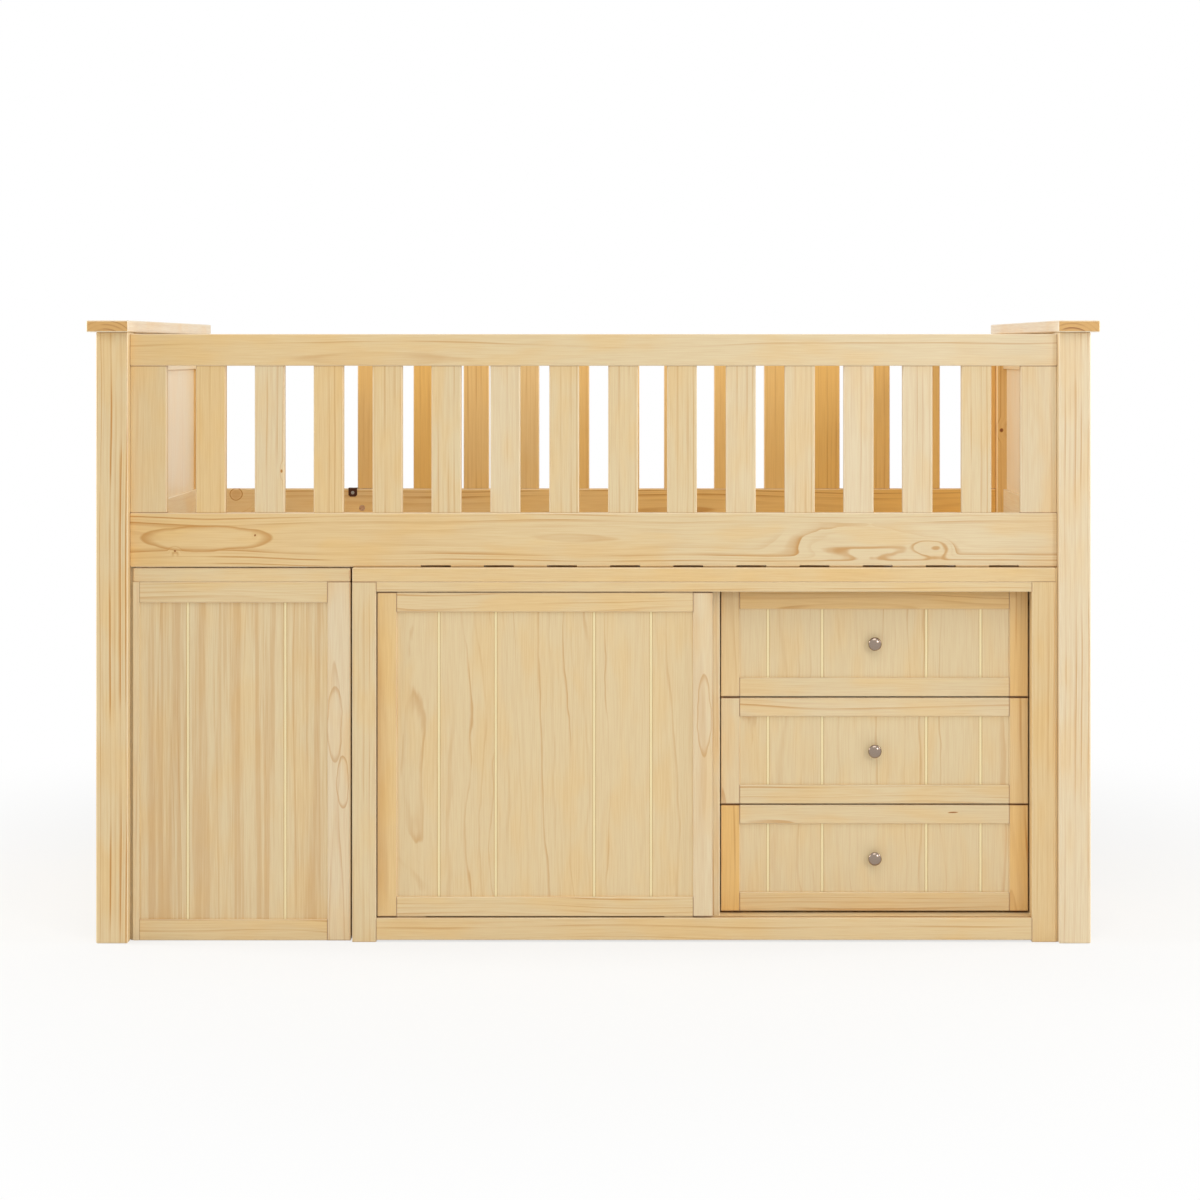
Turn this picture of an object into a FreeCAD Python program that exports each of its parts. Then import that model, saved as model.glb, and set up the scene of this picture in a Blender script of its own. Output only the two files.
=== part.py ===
import FreeCAD, Part
import os

# Low loft bed of solid pine with a cabinet and a pull-out desk under it.
# Millimetres, +Z up, front towards -Y, origin on the floor under the middle of the bed.

# Sleeping place
MATTRESS_LENGTH = 1900.0
MATTRESS_WIDTH = 900.0
MATTRESS_END_ROOM = 14.0
MATTRESS_SIDE_ROOM = 10.0

# Corner posts and the caps that lie over each end
POST_WIDTH = 66.0
POST_DEPTH = 66.0
POST_HEIGHT = 1266.0
CAP_THICKNESS = 24.0
CAP_SIDE_OVERHANG = 17.0
CAP_INNER_OVERHANG = 4.0
CAP_FRONT_OVERHANG = 16.0

# Rails of the two long sides
RAIL_THICKNESS = 26.0
RAIL_SETBACK = 22.0
SIDE_RAIL_BOTTOM = 778.0
SIDE_RAIL_HEIGHT = 112.0
RAIL_NOTCH_COUNT = 10
RAIL_NOTCH_WIDTH = 62.0
RAIL_NOTCH_HEIGHT = 3.5
TOP_RAIL_DROP = 4.0
TOP_RAIL_HEIGHT = 66.0

# Guard slats and the wider stiles that end each guard
GUARD_SLAT_WIDTH = 62.0
GUARD_SLAT_THICKNESS = 20.0
GUARD_SLAT_SETBACK = 3.0
GUARD_STILE_WIDTH = 76.0
FRONT_SLAT_COUNT = 14
BACK_SLAT_COUNT = 11
LADDER_OPENING = 372.0

# End frames
END_RAIL_THICKNESS = 34.0
END_RAIL_SETBACK = 16.0
END_TOP_RAIL_HEIGHT = 84.0
END_FOOT_RAIL_BOTTOM = 80.0
END_FOOT_RAIL_HEIGHT = 70.0
END_PANEL_THICKNESS = 14.0
END_PANEL_SETBACK = 24.0

# Slatted bed base
BED_SLAT_COUNT = 14
BED_SLAT_WIDTH = 66.0
BED_SLAT_THICKNESS = 20.0
BED_SLAT_END_GAP = 2.0
BED_SLAT_MARGIN = 78.0
LEDGER_WIDTH = 24.0
LEDGER_HEIGHT = 24.0
LEDGER_LIFT = 4.0
LEDGER_END_GAP = 60.0

# Joinery shared by the whole bed
HOUSING_DEPTH = 10.0
PANEL_TONGUE = 8.0
EDGE_EASE = 2.0
FINE_EASE = 1.2
RUN_CLEARANCE = 0.3
HOLE_CLEARANCE = 0.4
CUT_OVERRUN = 5.0

# Bed bolts with barrel nuts
BOLT_RADIUS = 4.0
BOLT_HEAD_RADIUS = 6.5
BOLT_HEAD_HEIGHT = 8.0
BOLT_SOCKET_RADIUS = 3.4
BOLT_SOCKET_DEPTH = 4.0
BOLT_REACH = 46.0
COUNTERBORE_RADIUS = 8.0
COUNTERBORE_DEPTH = 10.0
NUT_RADIUS = 7.0
NUT_LENGTH = 20.0
NUT_DISTANCE = 34.0
SIDE_RAIL_BOLT_SHARES = (0.25, 0.75)
TOP_RAIL_BOLT_SHARES = (0.5,)
HANGER_INSET = 11.0
HANGER_NUT_DROP = 47.0
HANGER_STILE_REACH = 40.0
HANGER_TAIL = 10.0

# Wood screws of the bed base and of the guard bracket
SCREW_RADIUS = 2.0
SCREW_HEAD_RADIUS = 4.0
SCREW_HEAD_HEIGHT = 2.6
SCREW_LENGTH = 38.0
BRACKET_SCREW_LENGTH = 14.0

# Angle bracket between the back guard and the back side rail
BRACKET_WIDTH = 21.0
BRACKET_DROP = 19.0
BRACKET_REACH = 20.0
BRACKET_THICKNESS = 2.0
BRACKET_CORNER = 4.0
BRACKET_GAP = 1.0
BRACKET_FLANGE_SCREW_SHARE = 0.8

# Space under the bed and the two units in it
CABINET_HEADROOM = 1.0
DESK_HEADROOM = 2.5
UNIT_GAP = 4.5
DESK_POST_GAP = 6.0
CABINET_POST_GAP = 4.0
FILLER_SETBACK = 2.0
DESK_WIDTH = 452.5
DESK_SETBACK = 25.0
CABINET_SETBACK = 14.0

# Cabinet carcass
CABINET_DEPTH = 480.0
CABINET_TOP_THICKNESS = 30.0
CARCASS_THICKNESS = 18.0
CABINET_BACK_THICKNESS = 6.0
FACE_FRAME_THICKNESS = 22.0
FACE_STILE_WIDTH = 50.0
HEAD_RAIL_HEIGHT = 20.0
FOOT_RAIL_BOTTOM = 4.0
FOOT_RAIL_HEIGHT = 46.0
SHELF_HEIGHT = 330.0
SHELF_SIDE_GAP = 2.0
SHELF_FRONT_GAP = 14.0
PIN_RADIUS = 2.5
PIN_LENGTH = 18.0
PIN_HOLE_DEPTH = 8.0
PIN_SHARES = (0.12, 0.88)

# Fixing of the cabinet to the bed
TIE_SHARES = (0.15, 0.45, 0.8)
TIE_SCREW_RADIUS = 2.5
TIE_HEAD_RADIUS = 5.5
TIE_HEAD_HEIGHT = 3.0
TIE_TIP_GAP = 6.0
SPACER_RADIUS = 10.0

# Sliding door and its grooves
DOOR_WIDTH = 696.0
DOOR_THICKNESS = 20.0
DOOR_SETBACK = 2.0
DOOR_SIDE_GAP = 2.0
DOOR_FOOT_GAP = 3.0
DOOR_HEAD_GAP = 2.0
DOOR_MEMBER_WIDTH = 40.0
DOOR_GROOVE_SHARES = (0.142, 0.334, 0.666, 0.858)
TRACK_LIP = 6.0
TRACK_WIDTH = 10.0
TRACK_DEPTH = 8.0
GLIDE_LENGTH = 60.0
GLIDE_INSET = 40.0
GLIDE_SIDE_PLAY = 0.8
DIVIDER_SETBACK = 3.0

# Drawers
DRAWER_COUNT = 3
DRAWER_SETBACK = 48.0
DRAWER_FRONT_THICKNESS = 20.0
DRAWER_MEMBER_WIDTH = 39.0
DRAWER_GROOVE_SHARES = (0.106, 0.307, 0.693, 0.894)
DRAWER_LEFT_GAP = 3.0
DRAWER_RIGHT_GAP = 1.0
DRAWER_FOOT_GAP = 4.5
DRAWER_HEAD_GAP = 2.0
DRAWER_BETWEEN_GAP = 3.0
DRAWER_GUIDE_GAP = 3.0
BOX_SIDE_THICKNESS = 12.0
BOX_BOTTOM_THICKNESS = 6.0
BOX_BOTTOM_LIFT = 8.0
BOX_BOTTOM_TONGUE = 6.0
BOX_LENGTH = 390.0
BOX_HEIGHT = 150.0
BOX_INSET = 2.0
BEARER_WIDTH = 30.0
BEARER_HEIGHT = 10.0
BEARER_FRONT_GAP = 2.0

# Knobs
KNOB_RADIUS = 14.0
KNOB_LENGTH = 22.0
KNOB_FOOT_RADIUS = 7.5
KNOB_FOOT_LENGTH = 2.5
KNOB_NECK_RADIUS = 5.0
KNOB_NECK_LENGTH = 11.0
KNOB_RIM_LENGTH = 2.5
KNOB_CROWN_LENGTH = 2.5
KNOB_SHOULDER_LENGTH = 1.2
KNOB_SHOULDER_SHARE = 0.86
KNOB_FACE_SHARE = 0.55
KNOB_SCREW_DEPTH = 10.0

# Frame-and-panel fronts
PANEL_THICKNESS = 10.0
PANEL_RECESS = 5.0
BEAD_WIDTH = 5.0
BEAD_DEPTH = 1.0

# Pull-out desk
DESK_LENGTH = 900.0
DESK_TOP_THICKNESS = 29.0
DESK_SIDE_THICKNESS = 13.0
DESK_FRONT_THICKNESS = 22.0
DESK_STILE_WIDTH = 48.0
DESK_RAIL_HEIGHT = 43.0
DESK_GROOVE_SHARES = (0.256, 0.774)
DESK_FLOOR_GAP = 1.0
DESK_LEG_DEPTH = 48.0
DESK_APRON_HEIGHT = 60.0
DESK_APRON_THICKNESS = 20.0
DESK_GLIDE_WIDTH = 9.0
DESK_GLIDE_LENGTH = 30.0
GUIDE_HEIGHT = 18.0
GUIDE_FRONT_GAP = 54.0
GUIDE_BACK_GAP = 46.0
POST_GUIDE_SETBACK = 8.0

LEFT, RIGHT = -1, 1
FRONT, BACK = -1, 1

# Places worked out from the sizes above
inner_half = MATTRESS_LENGTH / 2 + MATTRESS_END_ROOM
post_outer = inner_half + POST_WIDTH
rail_inner = MATTRESS_WIDTH / 2 + MATTRESS_SIDE_ROOM
rail_outer = rail_inner + RAIL_THICKNESS
rail_middle = rail_inner + RAIL_THICKNESS / 2
half_depth = rail_outer + RAIL_SETBACK
post_inner_y = half_depth - POST_DEPTH

side_rail_top = SIDE_RAIL_BOTTOM + SIDE_RAIL_HEIGHT
top_rail_top = POST_HEIGHT - TOP_RAIL_DROP
top_rail_bottom = top_rail_top - TOP_RAIL_HEIGHT
end_top_rail_bottom = POST_HEIGHT - END_TOP_RAIL_HEIGHT
end_foot_rail_top = END_FOOT_RAIL_BOTTOM + END_FOOT_RAIL_HEIGHT
back_guard_left = -inner_half + LADDER_OPENING
ledger_bottom = SIDE_RAIL_BOTTOM + LEDGER_LIFT
ledger_top = ledger_bottom + LEDGER_HEIGHT
ledger_inner = rail_inner - LEDGER_WIDTH
ledger_middle = rail_inner - LEDGER_WIDTH / 2
bed_slat_top = ledger_top + BED_SLAT_THICKNESS

cabinet_top = SIDE_RAIL_BOTTOM - CABINET_HEADROOM
desk_surface = SIDE_RAIL_BOTTOM - DESK_HEADROOM
desk_left = -inner_half + DESK_POST_GAP
desk_right = desk_left + DESK_WIDTH
cabinet_left = desk_right + UNIT_GAP
cabinet_right = inner_half - CABINET_POST_GAP
cabinet_front = -half_depth + CABINET_SETBACK
cabinet_back = cabinet_front + CABINET_DEPTH
cabinet_lid = cabinet_top - CABINET_TOP_THICKNESS
carcass_front = cabinet_front + FACE_FRAME_THICKNESS
carcass_back = cabinet_back - CABINET_BACK_THICKNESS
opening_left = cabinet_left + FACE_STILE_WIDTH
opening_right = cabinet_right - FACE_STILE_WIDTH
opening_bottom = FOOT_RAIL_BOTTOM + FOOT_RAIL_HEIGHT
opening_top = cabinet_lid - HEAD_RAIL_HEIGHT
bay_left = cabinet_left + CARCASS_THICKNESS
bay_right = cabinet_right - CARCASS_THICKNESS

door_left = opening_left + DOOR_SIDE_GAP
door_right = door_left + DOOR_WIDTH
door_face = cabinet_front + DOOR_SETBACK
door_back = door_face + DOOR_THICKNESS
door_bottom = opening_bottom + DOOR_FOOT_GAP
door_top = opening_top - DOOR_HEAD_GAP
track_front = cabinet_front + TRACK_LIP
track_back = track_front + TRACK_WIDTH
divider_left = door_right - DOOR_SIDE_GAP
divider_right = divider_left + CARCASS_THICKNESS
divider_front = door_back + DIVIDER_SETBACK

drawer_left = divider_right + DRAWER_LEFT_GAP
drawer_right = opening_right - DRAWER_RIGHT_GAP
drawer_guide = drawer_right + DRAWER_GUIDE_GAP
drawer_face = cabinet_front + DRAWER_SETBACK
drawer_front_back = drawer_face + DRAWER_FRONT_THICKNESS
drawer_free = opening_top - opening_bottom - DRAWER_FOOT_GAP - DRAWER_HEAD_GAP
drawer_height = (drawer_free - (DRAWER_COUNT - 1) * DRAWER_BETWEEN_GAP) / DRAWER_COUNT
drawer_pitch = drawer_height + DRAWER_BETWEEN_GAP
box_back = drawer_front_back + BOX_LENGTH

desk_front = -half_depth + DESK_SETBACK
desk_back = desk_front + DESK_LENGTH
desk_lid = desk_surface - DESK_TOP_THICKNESS
desk_front_back = desk_front + DESK_FRONT_THICKNESS
desk_side_right = desk_left + DESK_SIDE_THICKNESS
desk_stile_left = desk_right - DESK_STILE_WIDTH
desk_apron_bottom = desk_lid - DESK_APRON_HEIGHT

Vector = FreeCAD.Vector
X_AXIS = Vector(1, 0, 0)
Y_AXIS = Vector(0, 1, 0)
Z_AXIS = Vector(0, 0, 1)


def span(sign, near, far):
    """The (low, high) pair of two distances from the middle, on one side of it."""
    return tuple(sorted((sign * near, sign * far)))


def around(middle, length):
    """The (low, high) pair of a length centred on a place."""
    return middle - length / 2, middle + length / 2


def block(across, deep, high):
    """A square-edged block between three (low, high) spans."""
    corner = Vector(across[0], deep[0], high[0])
    return Part.makeBox(across[1] - across[0], deep[1] - deep[0], high[1] - high[0], corner)


def board(across, deep, high, ease=EDGE_EASE, ends=False):
    """A planed board. A small flat eases the edges along its grain, and its end edges where they show."""
    solid = block(across, deep, high)
    lengths = [high_end - low_end for low_end, high_end in (across, deep, high)]
    grain = lengths.index(max(lengths))
    edges = []
    for edge in solid.Edges:
        first, last = (vertex.Point for vertex in edge.Vertexes)
        if ends or abs(first[grain] - last[grain]) > ease:
            edges.append(edge)
    return solid.makeChamfer(ease, edges)


def rod(radius, start, axis, length):
    """A round bar from a start point along an axis. A negative length runs the other way."""
    direction = axis if length > 0 else -axis
    return Part.makeCylinder(radius, abs(length), start, direction)


def carve(solid, tools):
    """The solid with every tool cut out of it."""
    result = solid.cut(tools) if tools else solid
    return result.Solids[0]


def turned(points, start, axis):
    """A solid turned about an upright or front-to-back axis, from points of radius and distance along it."""
    outline = [start + X_AXIS * radius + axis * along for radius, along in points]
    face = Part.Face(Part.makePolygon(outline + outline[:1]))
    return face.revolve(start, axis, 360).Solids[0]


def save(node, solids):
    """Write one node's solids to its file."""
    shape = solids[0] if len(solids) == 1 else Part.makeCompound(solids)
    shape.exportStep(os.path.join("parts", node + ".step"))


def wood_screw(head, axis, length):
    """A countersunk screw whose flat head face lies at the head point. The axis points towards the tip."""
    tip = length - SCREW_RADIUS
    points = [
        (0, 0),
        (SCREW_HEAD_RADIUS, 0),
        (SCREW_RADIUS, SCREW_HEAD_HEIGHT),
        (SCREW_RADIUS, tip),
        (0, length),
    ]
    return turned(points, head, axis)


def wood_screw_hole(head, axis, length):
    """The space that a countersunk screw fills, with a little clearance round it."""
    radius = SCREW_RADIUS + HOLE_CLEARANCE
    head_radius = SCREW_HEAD_RADIUS + HOLE_CLEARANCE
    points = [
        (0, -CUT_OVERRUN),
        (head_radius, -CUT_OVERRUN),
        (head_radius, 0),
        (radius, SCREW_HEAD_HEIGHT),
        (radius, length + HOLE_CLEARANCE),
        (0, length + HOLE_CLEARANCE),
    ]
    return turned(points, head, axis)


def bed_bolt(end, side, height):
    """A socket-head bolt through a post into a rail's end, its barrel nut and the cuts for both."""
    floor = end * (post_outer - COUNTERBORE_DEPTH)
    seat = Vector(floor, side * rail_middle, height)
    outward = X_AXIS * end
    shank_length = post_outer - COUNTERBORE_DEPTH - inner_half + BOLT_REACH
    shank = rod(BOLT_RADIUS, seat, outward, -shank_length)
    head = rod(BOLT_HEAD_RADIUS, seat, outward, BOLT_HEAD_HEIGHT)
    socket_seat = seat + outward * (BOLT_HEAD_HEIGHT - BOLT_SOCKET_DEPTH)
    socket = rod(BOLT_SOCKET_RADIUS, socket_seat, outward, BOLT_SOCKET_DEPTH + CUT_OVERRUN)
    bolt = carve(shank.fuse(head), [socket])
    nut_start = Vector(end * (inner_half - NUT_DISTANCE), side * rail_inner, height)
    inward = Y_AXIS * side
    nut = rod(NUT_RADIUS, nut_start, inward, NUT_LENGTH)
    nut = carve(nut, [rod(BOLT_RADIUS + RUN_CLEARANCE, seat, outward, -shank_length - CUT_OVERRUN)])
    cuts = [
        rod(BOLT_RADIUS + HOLE_CLEARANCE, seat, outward, -shank_length - HOLE_CLEARANCE),
        rod(COUNTERBORE_RADIUS, seat, outward, COUNTERBORE_DEPTH + CUT_OVERRUN),
        rod(NUT_RADIUS + RUN_CLEARANCE, nut_start - inward * CUT_OVERRUN, inward, NUT_LENGTH + CUT_OVERRUN),
    ]
    return bolt, nut, cuts


def hanger_bolt():
    """The bolt that draws the free stile of the back guard down on the side rail, its nut and the cuts."""
    across = back_guard_left + HANGER_INSET
    nut_height = side_rail_top - HANGER_NUT_DROP
    start = Vector(across, rail_middle, nut_height - HANGER_TAIL)
    length = HANGER_TAIL + HANGER_NUT_DROP + HANGER_STILE_REACH
    bolt = rod(BOLT_RADIUS, start, Z_AXIS, length)
    nut_start = Vector(across, rail_inner, nut_height)
    nut = rod(NUT_RADIUS, nut_start, Y_AXIS, NUT_LENGTH)
    nut = carve(nut, [rod(BOLT_RADIUS + RUN_CLEARANCE, start, Z_AXIS, length)])
    cuts = [
        rod(BOLT_RADIUS + HOLE_CLEARANCE, start, Z_AXIS, length),
        rod(NUT_RADIUS + RUN_CLEARANCE, nut_start - Y_AXIS * CUT_OVERRUN, Y_AXIS, NUT_LENGTH + CUT_OVERRUN),
    ]
    return bolt, nut, cuts


def shares_of(low, high, shares):
    """The places at some shares of the way from low to high."""
    return [low + (high - low) * share for share in shares]


def guard_uprights(side, left, right, count):
    """The stiles and evenly spaced slats of one guard between two places, each let into the rails."""
    deep = span(side, rail_outer - GUARD_SLAT_SETBACK - GUARD_SLAT_THICKNESS, rail_outer - GUARD_SLAT_SETBACK)
    high = (side_rail_top - HOUSING_DEPTH, top_rail_bottom + HOUSING_DEPTH)
    stiles = [
        ((left, left + GUARD_STILE_WIDTH), deep, high),
        ((right - GUARD_STILE_WIDTH, right), deep, high),
    ]
    clear = right - left - 2 * GUARD_STILE_WIDTH
    gap = (clear - count * GUARD_SLAT_WIDTH) / (count + 1)
    slats = []
    for number in range(count):
        start = left + GUARD_STILE_WIDTH + gap + number * (GUARD_SLAT_WIDTH + gap)
        slats.append(((start, start + GUARD_SLAT_WIDTH), deep, high))
    return stiles, slats


def make_bed_bolts():
    """Every bolt and barrel nut, and the cuts that posts and rails need for them."""
    side_heights = shares_of(SIDE_RAIL_BOTTOM, side_rail_top, SIDE_RAIL_BOLT_SHARES)
    top_heights = shares_of(top_rail_bottom, top_rail_top, TOP_RAIL_BOLT_SHARES)
    bolts, nuts, cuts = [], [], []
    for end in (LEFT, RIGHT):
        for side in (FRONT, BACK):
            heights = list(side_heights)
            if (end, side) != (LEFT, BACK):
                heights += top_heights
            for height in heights:
                bolt, nut, bolt_cuts = bed_bolt(end, side, height)
                bolts.append(bolt)
                nuts.append(nut)
                cuts += bolt_cuts
    hanger, hanger_nut, hanger_cuts = hanger_bolt()
    bolts.append(hanger)
    nuts.append(hanger_nut)
    save("bed_bolts", bolts)
    save("barrel_nuts", nuts)
    return cuts, hanger_cuts


def end_rail_spans(end):
    """The spans of the top, cross and foot rails of one end frame, let into both posts."""
    across = span(end, inner_half + END_RAIL_SETBACK, inner_half + END_RAIL_SETBACK + END_RAIL_THICKNESS)
    reach = post_inner_y + HOUSING_DEPTH
    deep = (-reach, reach)
    return [
        (across, deep, (end_top_rail_bottom, POST_HEIGHT)),
        (across, deep, (SIDE_RAIL_BOTTOM, side_rail_top)),
        (across, deep, (END_FOOT_RAIL_BOTTOM, end_foot_rail_top)),
    ]


def end_panel_spans(end):
    """The spans of the panel that closes the upper half of one end frame, with its tongues."""
    across = span(end, inner_half + END_PANEL_SETBACK, inner_half + END_PANEL_SETBACK + END_PANEL_THICKNESS)
    reach = post_inner_y + PANEL_TONGUE
    high = (side_rail_top - PANEL_TONGUE, end_top_rail_bottom + PANEL_TONGUE)
    return across, (-reach, reach), high


def make_end_frames(bolt_cuts):
    """Posts, caps, rails and panels of both ends."""
    for end, name in ((LEFT, "left"), (RIGHT, "right")):
        rails = end_rail_spans(end)
        panel = block(*end_panel_spans(end))
        pockets = [block(*spans) for spans in rails] + [panel]
        across = span(end, inner_half, post_outer)
        for side, place in ((FRONT, "front"), (BACK, "back")):
            post = board(across, span(side, post_inner_y, half_depth), (0, POST_HEIGHT), ends=True)
            save(f"{name}_{place}_post", [carve(post, pockets + bolt_cuts)])
        save(f"{name}_end_rails", [carve(board(*spans, FINE_EASE), [panel]) for spans in rails])
        save(f"{name}_end_panel", [panel])
        cap_reach = half_depth + CAP_FRONT_OVERHANG
        cap_across = span(end, inner_half - CAP_INNER_OVERHANG, post_outer + CAP_SIDE_OVERHANG)
        cap_high = (POST_HEIGHT, POST_HEIGHT + CAP_THICKNESS)
        save(f"{name}_cap", [board(cap_across, (-cap_reach, cap_reach), cap_high, ends=True)])


def bed_slat_lefts():
    """The left edge of each bed slat, evenly spaced between the margins at both ends."""
    room = 2 * (inner_half - BED_SLAT_MARGIN)
    pitch = (room - BED_SLAT_WIDTH) / (BED_SLAT_COUNT - 1)
    return [-inner_half + BED_SLAT_MARGIN + number * pitch for number in range(BED_SLAT_COUNT)]


def rail_notches():
    """Shallow notches in the lower edge of the front side rail, under the slats over the cabinet."""
    deep = (-rail_outer - CUT_OVERRUN, -rail_inner + CUT_OVERRUN)
    high = (SIDE_RAIL_BOTTOM - CUT_OVERRUN, SIDE_RAIL_BOTTOM + RAIL_NOTCH_HEIGHT)
    notches = []
    for left in bed_slat_lefts()[-RAIL_NOTCH_COUNT:]:
        middle = left + BED_SLAT_WIDTH / 2
        across = (middle - RAIL_NOTCH_WIDTH / 2, middle + RAIL_NOTCH_WIDTH / 2)
        notches.append(block(across, deep, high))
    return notches


def make_side(side, name, left, count, bolt_cuts, stile_cuts, rail_cuts):
    """Side rail, top rail, stiles and slats of one long side."""
    stiles, slats = guard_uprights(side, left, inner_half, count)
    housings = [block(*spans) for spans in stiles + slats]
    deep = span(side, rail_inner, rail_outer)
    side_rail = board((-inner_half, inner_half), deep, (SIDE_RAIL_BOTTOM, side_rail_top))
    top_rail = board((left, inner_half), deep, (top_rail_bottom, top_rail_top))
    save(f"{name}_side_rail", [carve(side_rail, housings + bolt_cuts + rail_cuts)])
    save(f"{name}_top_rail", [carve(top_rail, housings + bolt_cuts)])
    save(f"{name}_guard_stiles", [carve(board(*spans), stile_cuts) for spans in stiles])
    save(f"{name}_guard_slats", [board(*spans) for spans in slats])


def make_bracket():
    """The angle bracket on the back side rail beside the ladder opening, with its screws' cuts."""
    right = back_guard_left - BRACKET_GAP
    across = (right - BRACKET_WIDTH, right)
    bottom = side_rail_top - BRACKET_DROP
    top = side_rail_top + BRACKET_THICKNESS
    leg = block(across, (rail_inner - BRACKET_THICKNESS, rail_inner), (bottom, top))
    corners = []
    for edge in leg.Edges:
        low = edge.BoundBox.ZMax - bottom < BRACKET_THICKNESS / 2
        through = edge.BoundBox.YLength > BRACKET_THICKNESS / 2
        if low and through:
            corners.append(edge)
    leg = leg.makeChamfer(BRACKET_CORNER, corners)
    flange_deep = (rail_inner - BRACKET_THICKNESS, rail_inner + BRACKET_REACH)
    flange = block(across, flange_deep, (side_rail_top, top))
    middle = (across[0] + across[1]) / 2
    leg_head = Vector(middle, rail_inner - BRACKET_THICKNESS, side_rail_top - BRACKET_DROP / 2)
    flange_head = Vector(middle, rail_inner + BRACKET_REACH * BRACKET_FLANGE_SCREW_SHARE, top)
    places = [(leg_head, Y_AXIS), (flange_head, -Z_AXIS)]
    screws = [wood_screw(head, axis, BRACKET_SCREW_LENGTH) for head, axis in places]
    holes = [wood_screw_hole(head, axis, BRACKET_SCREW_LENGTH) for head, axis in places]
    save("guard_bracket", [carve(leg.fuse(flange).removeSplitter(), holes)])
    return screws, holes


def make_bed_base(bracket_screws, tie_cuts):
    """Ledgers, bed slats and the screws that hold the slats down."""
    slat_reach = rail_inner - BED_SLAT_END_GAP
    screws, holes, slats = [], [], []
    for left in bed_slat_lefts():
        slat_holes = []
        for side in (FRONT, BACK):
            head = Vector(left + BED_SLAT_WIDTH / 2, side * ledger_middle, bed_slat_top)
            screws.append(wood_screw(head, -Z_AXIS, SCREW_LENGTH))
            slat_holes.append(wood_screw_hole(head, -Z_AXIS, SCREW_LENGTH))
        slat = board((left, left + BED_SLAT_WIDTH), (-slat_reach, slat_reach), (ledger_top, bed_slat_top))
        slats.append(carve(slat, slat_holes))
        holes += slat_holes
    ledgers = []
    reach = inner_half - LEDGER_END_GAP
    for side in (FRONT, BACK):
        ledger = board((-reach, reach), span(side, ledger_inner, rail_inner), (ledger_bottom, ledger_top))
        ledgers.append(carve(ledger, holes + tie_cuts))
    save("slat_ledgers", ledgers)
    save("bed_slats", slats)
    save("wood_screws", screws + bracket_screws)


def make_cabinet_ties():
    """Screws and spacers that fix the cabinet's top under the front ledger, with the cuts for them."""
    ties, cuts = [], []
    for across in shares_of(cabinet_left, cabinet_right, TIE_SHARES):
        seat = Vector(across, -ledger_middle, cabinet_lid)
        length = ledger_top - TIE_TIP_GAP - cabinet_lid
        shank = rod(TIE_SCREW_RADIUS, seat, Z_AXIS, length)
        head = rod(TIE_HEAD_RADIUS, seat, Z_AXIS, -TIE_HEAD_HEIGHT)
        hole = rod(TIE_SCREW_RADIUS + HOLE_CLEARANCE, seat, Z_AXIS, length + HOLE_CLEARANCE)
        spacer_seat = Vector(across, -ledger_middle, cabinet_top)
        spacer = rod(SPACER_RADIUS, spacer_seat, Z_AXIS, ledger_bottom - cabinet_top)
        ties.append(shank.fuse(head).Solids[0])
        ties.append(carve(spacer, [hole]))
        cuts.append(hole)
    save("cabinet_ties", ties)
    return cuts


def make_face_frame():
    """The frame on the cabinet's front, its door grooves, and the strip that closes the gap to the post."""
    deep = (cabinet_front, carcass_front)
    stile_high = (0, cabinet_lid)
    stiles = [
        board((cabinet_left, opening_left), deep, stile_high, FINE_EASE),
        board((opening_right, cabinet_right), deep, stile_high, FINE_EASE),
    ]
    across = (opening_left, opening_right)
    track = (track_front, track_back)
    head = board(across, deep, (opening_top, cabinet_lid), FINE_EASE)
    foot = board(across, deep, (FOOT_RAIL_BOTTOM, opening_bottom), FINE_EASE)
    head_groove = block(across, track, (opening_top - CUT_OVERRUN, opening_top + TRACK_DEPTH))
    foot_groove = block(across, track, (opening_bottom - TRACK_DEPTH, opening_bottom + CUT_OVERRUN))
    filler_deep = (cabinet_front + FILLER_SETBACK, -post_inner_y - EDGE_EASE)
    filler = block((cabinet_right, inner_half), filler_deep, (0, SIDE_RAIL_BOTTOM))
    save("face_frame_stiles", stiles + [filler])
    save("face_frame_rails", [carve(head, [head_groove]), carve(foot, [foot_groove])])


def make_shelf():
    """The shelf behind the sliding door, its pins and the holes for them."""
    shelf_across = (bay_left + SHELF_SIDE_GAP, divider_left - SHELF_SIDE_GAP)
    shelf_deep = (divider_front + SHELF_FRONT_GAP, carcass_back)
    shelf_high = (SHELF_HEIGHT, SHELF_HEIGHT + CARCASS_THICKNESS)
    save("cabinet_shelf", [board(shelf_across, shelf_deep, shelf_high, FINE_EASE)])
    pins, holes = [], []
    pin_height = SHELF_HEIGHT - PIN_RADIUS
    for deep in shares_of(shelf_deep[0], shelf_deep[1], PIN_SHARES):
        for wall, inward in ((bay_left, X_AXIS), (divider_left, -X_AXIS)):
            start = Vector(wall, deep, pin_height) - inward * PIN_HOLE_DEPTH
            pins.append(rod(PIN_RADIUS, start, inward, PIN_LENGTH))
            holes.append(rod(PIN_RADIUS + RUN_CLEARANCE, start - inward * RUN_CLEARANCE, inward, PIN_LENGTH))
    save("shelf_pins", pins)
    return holes


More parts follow.
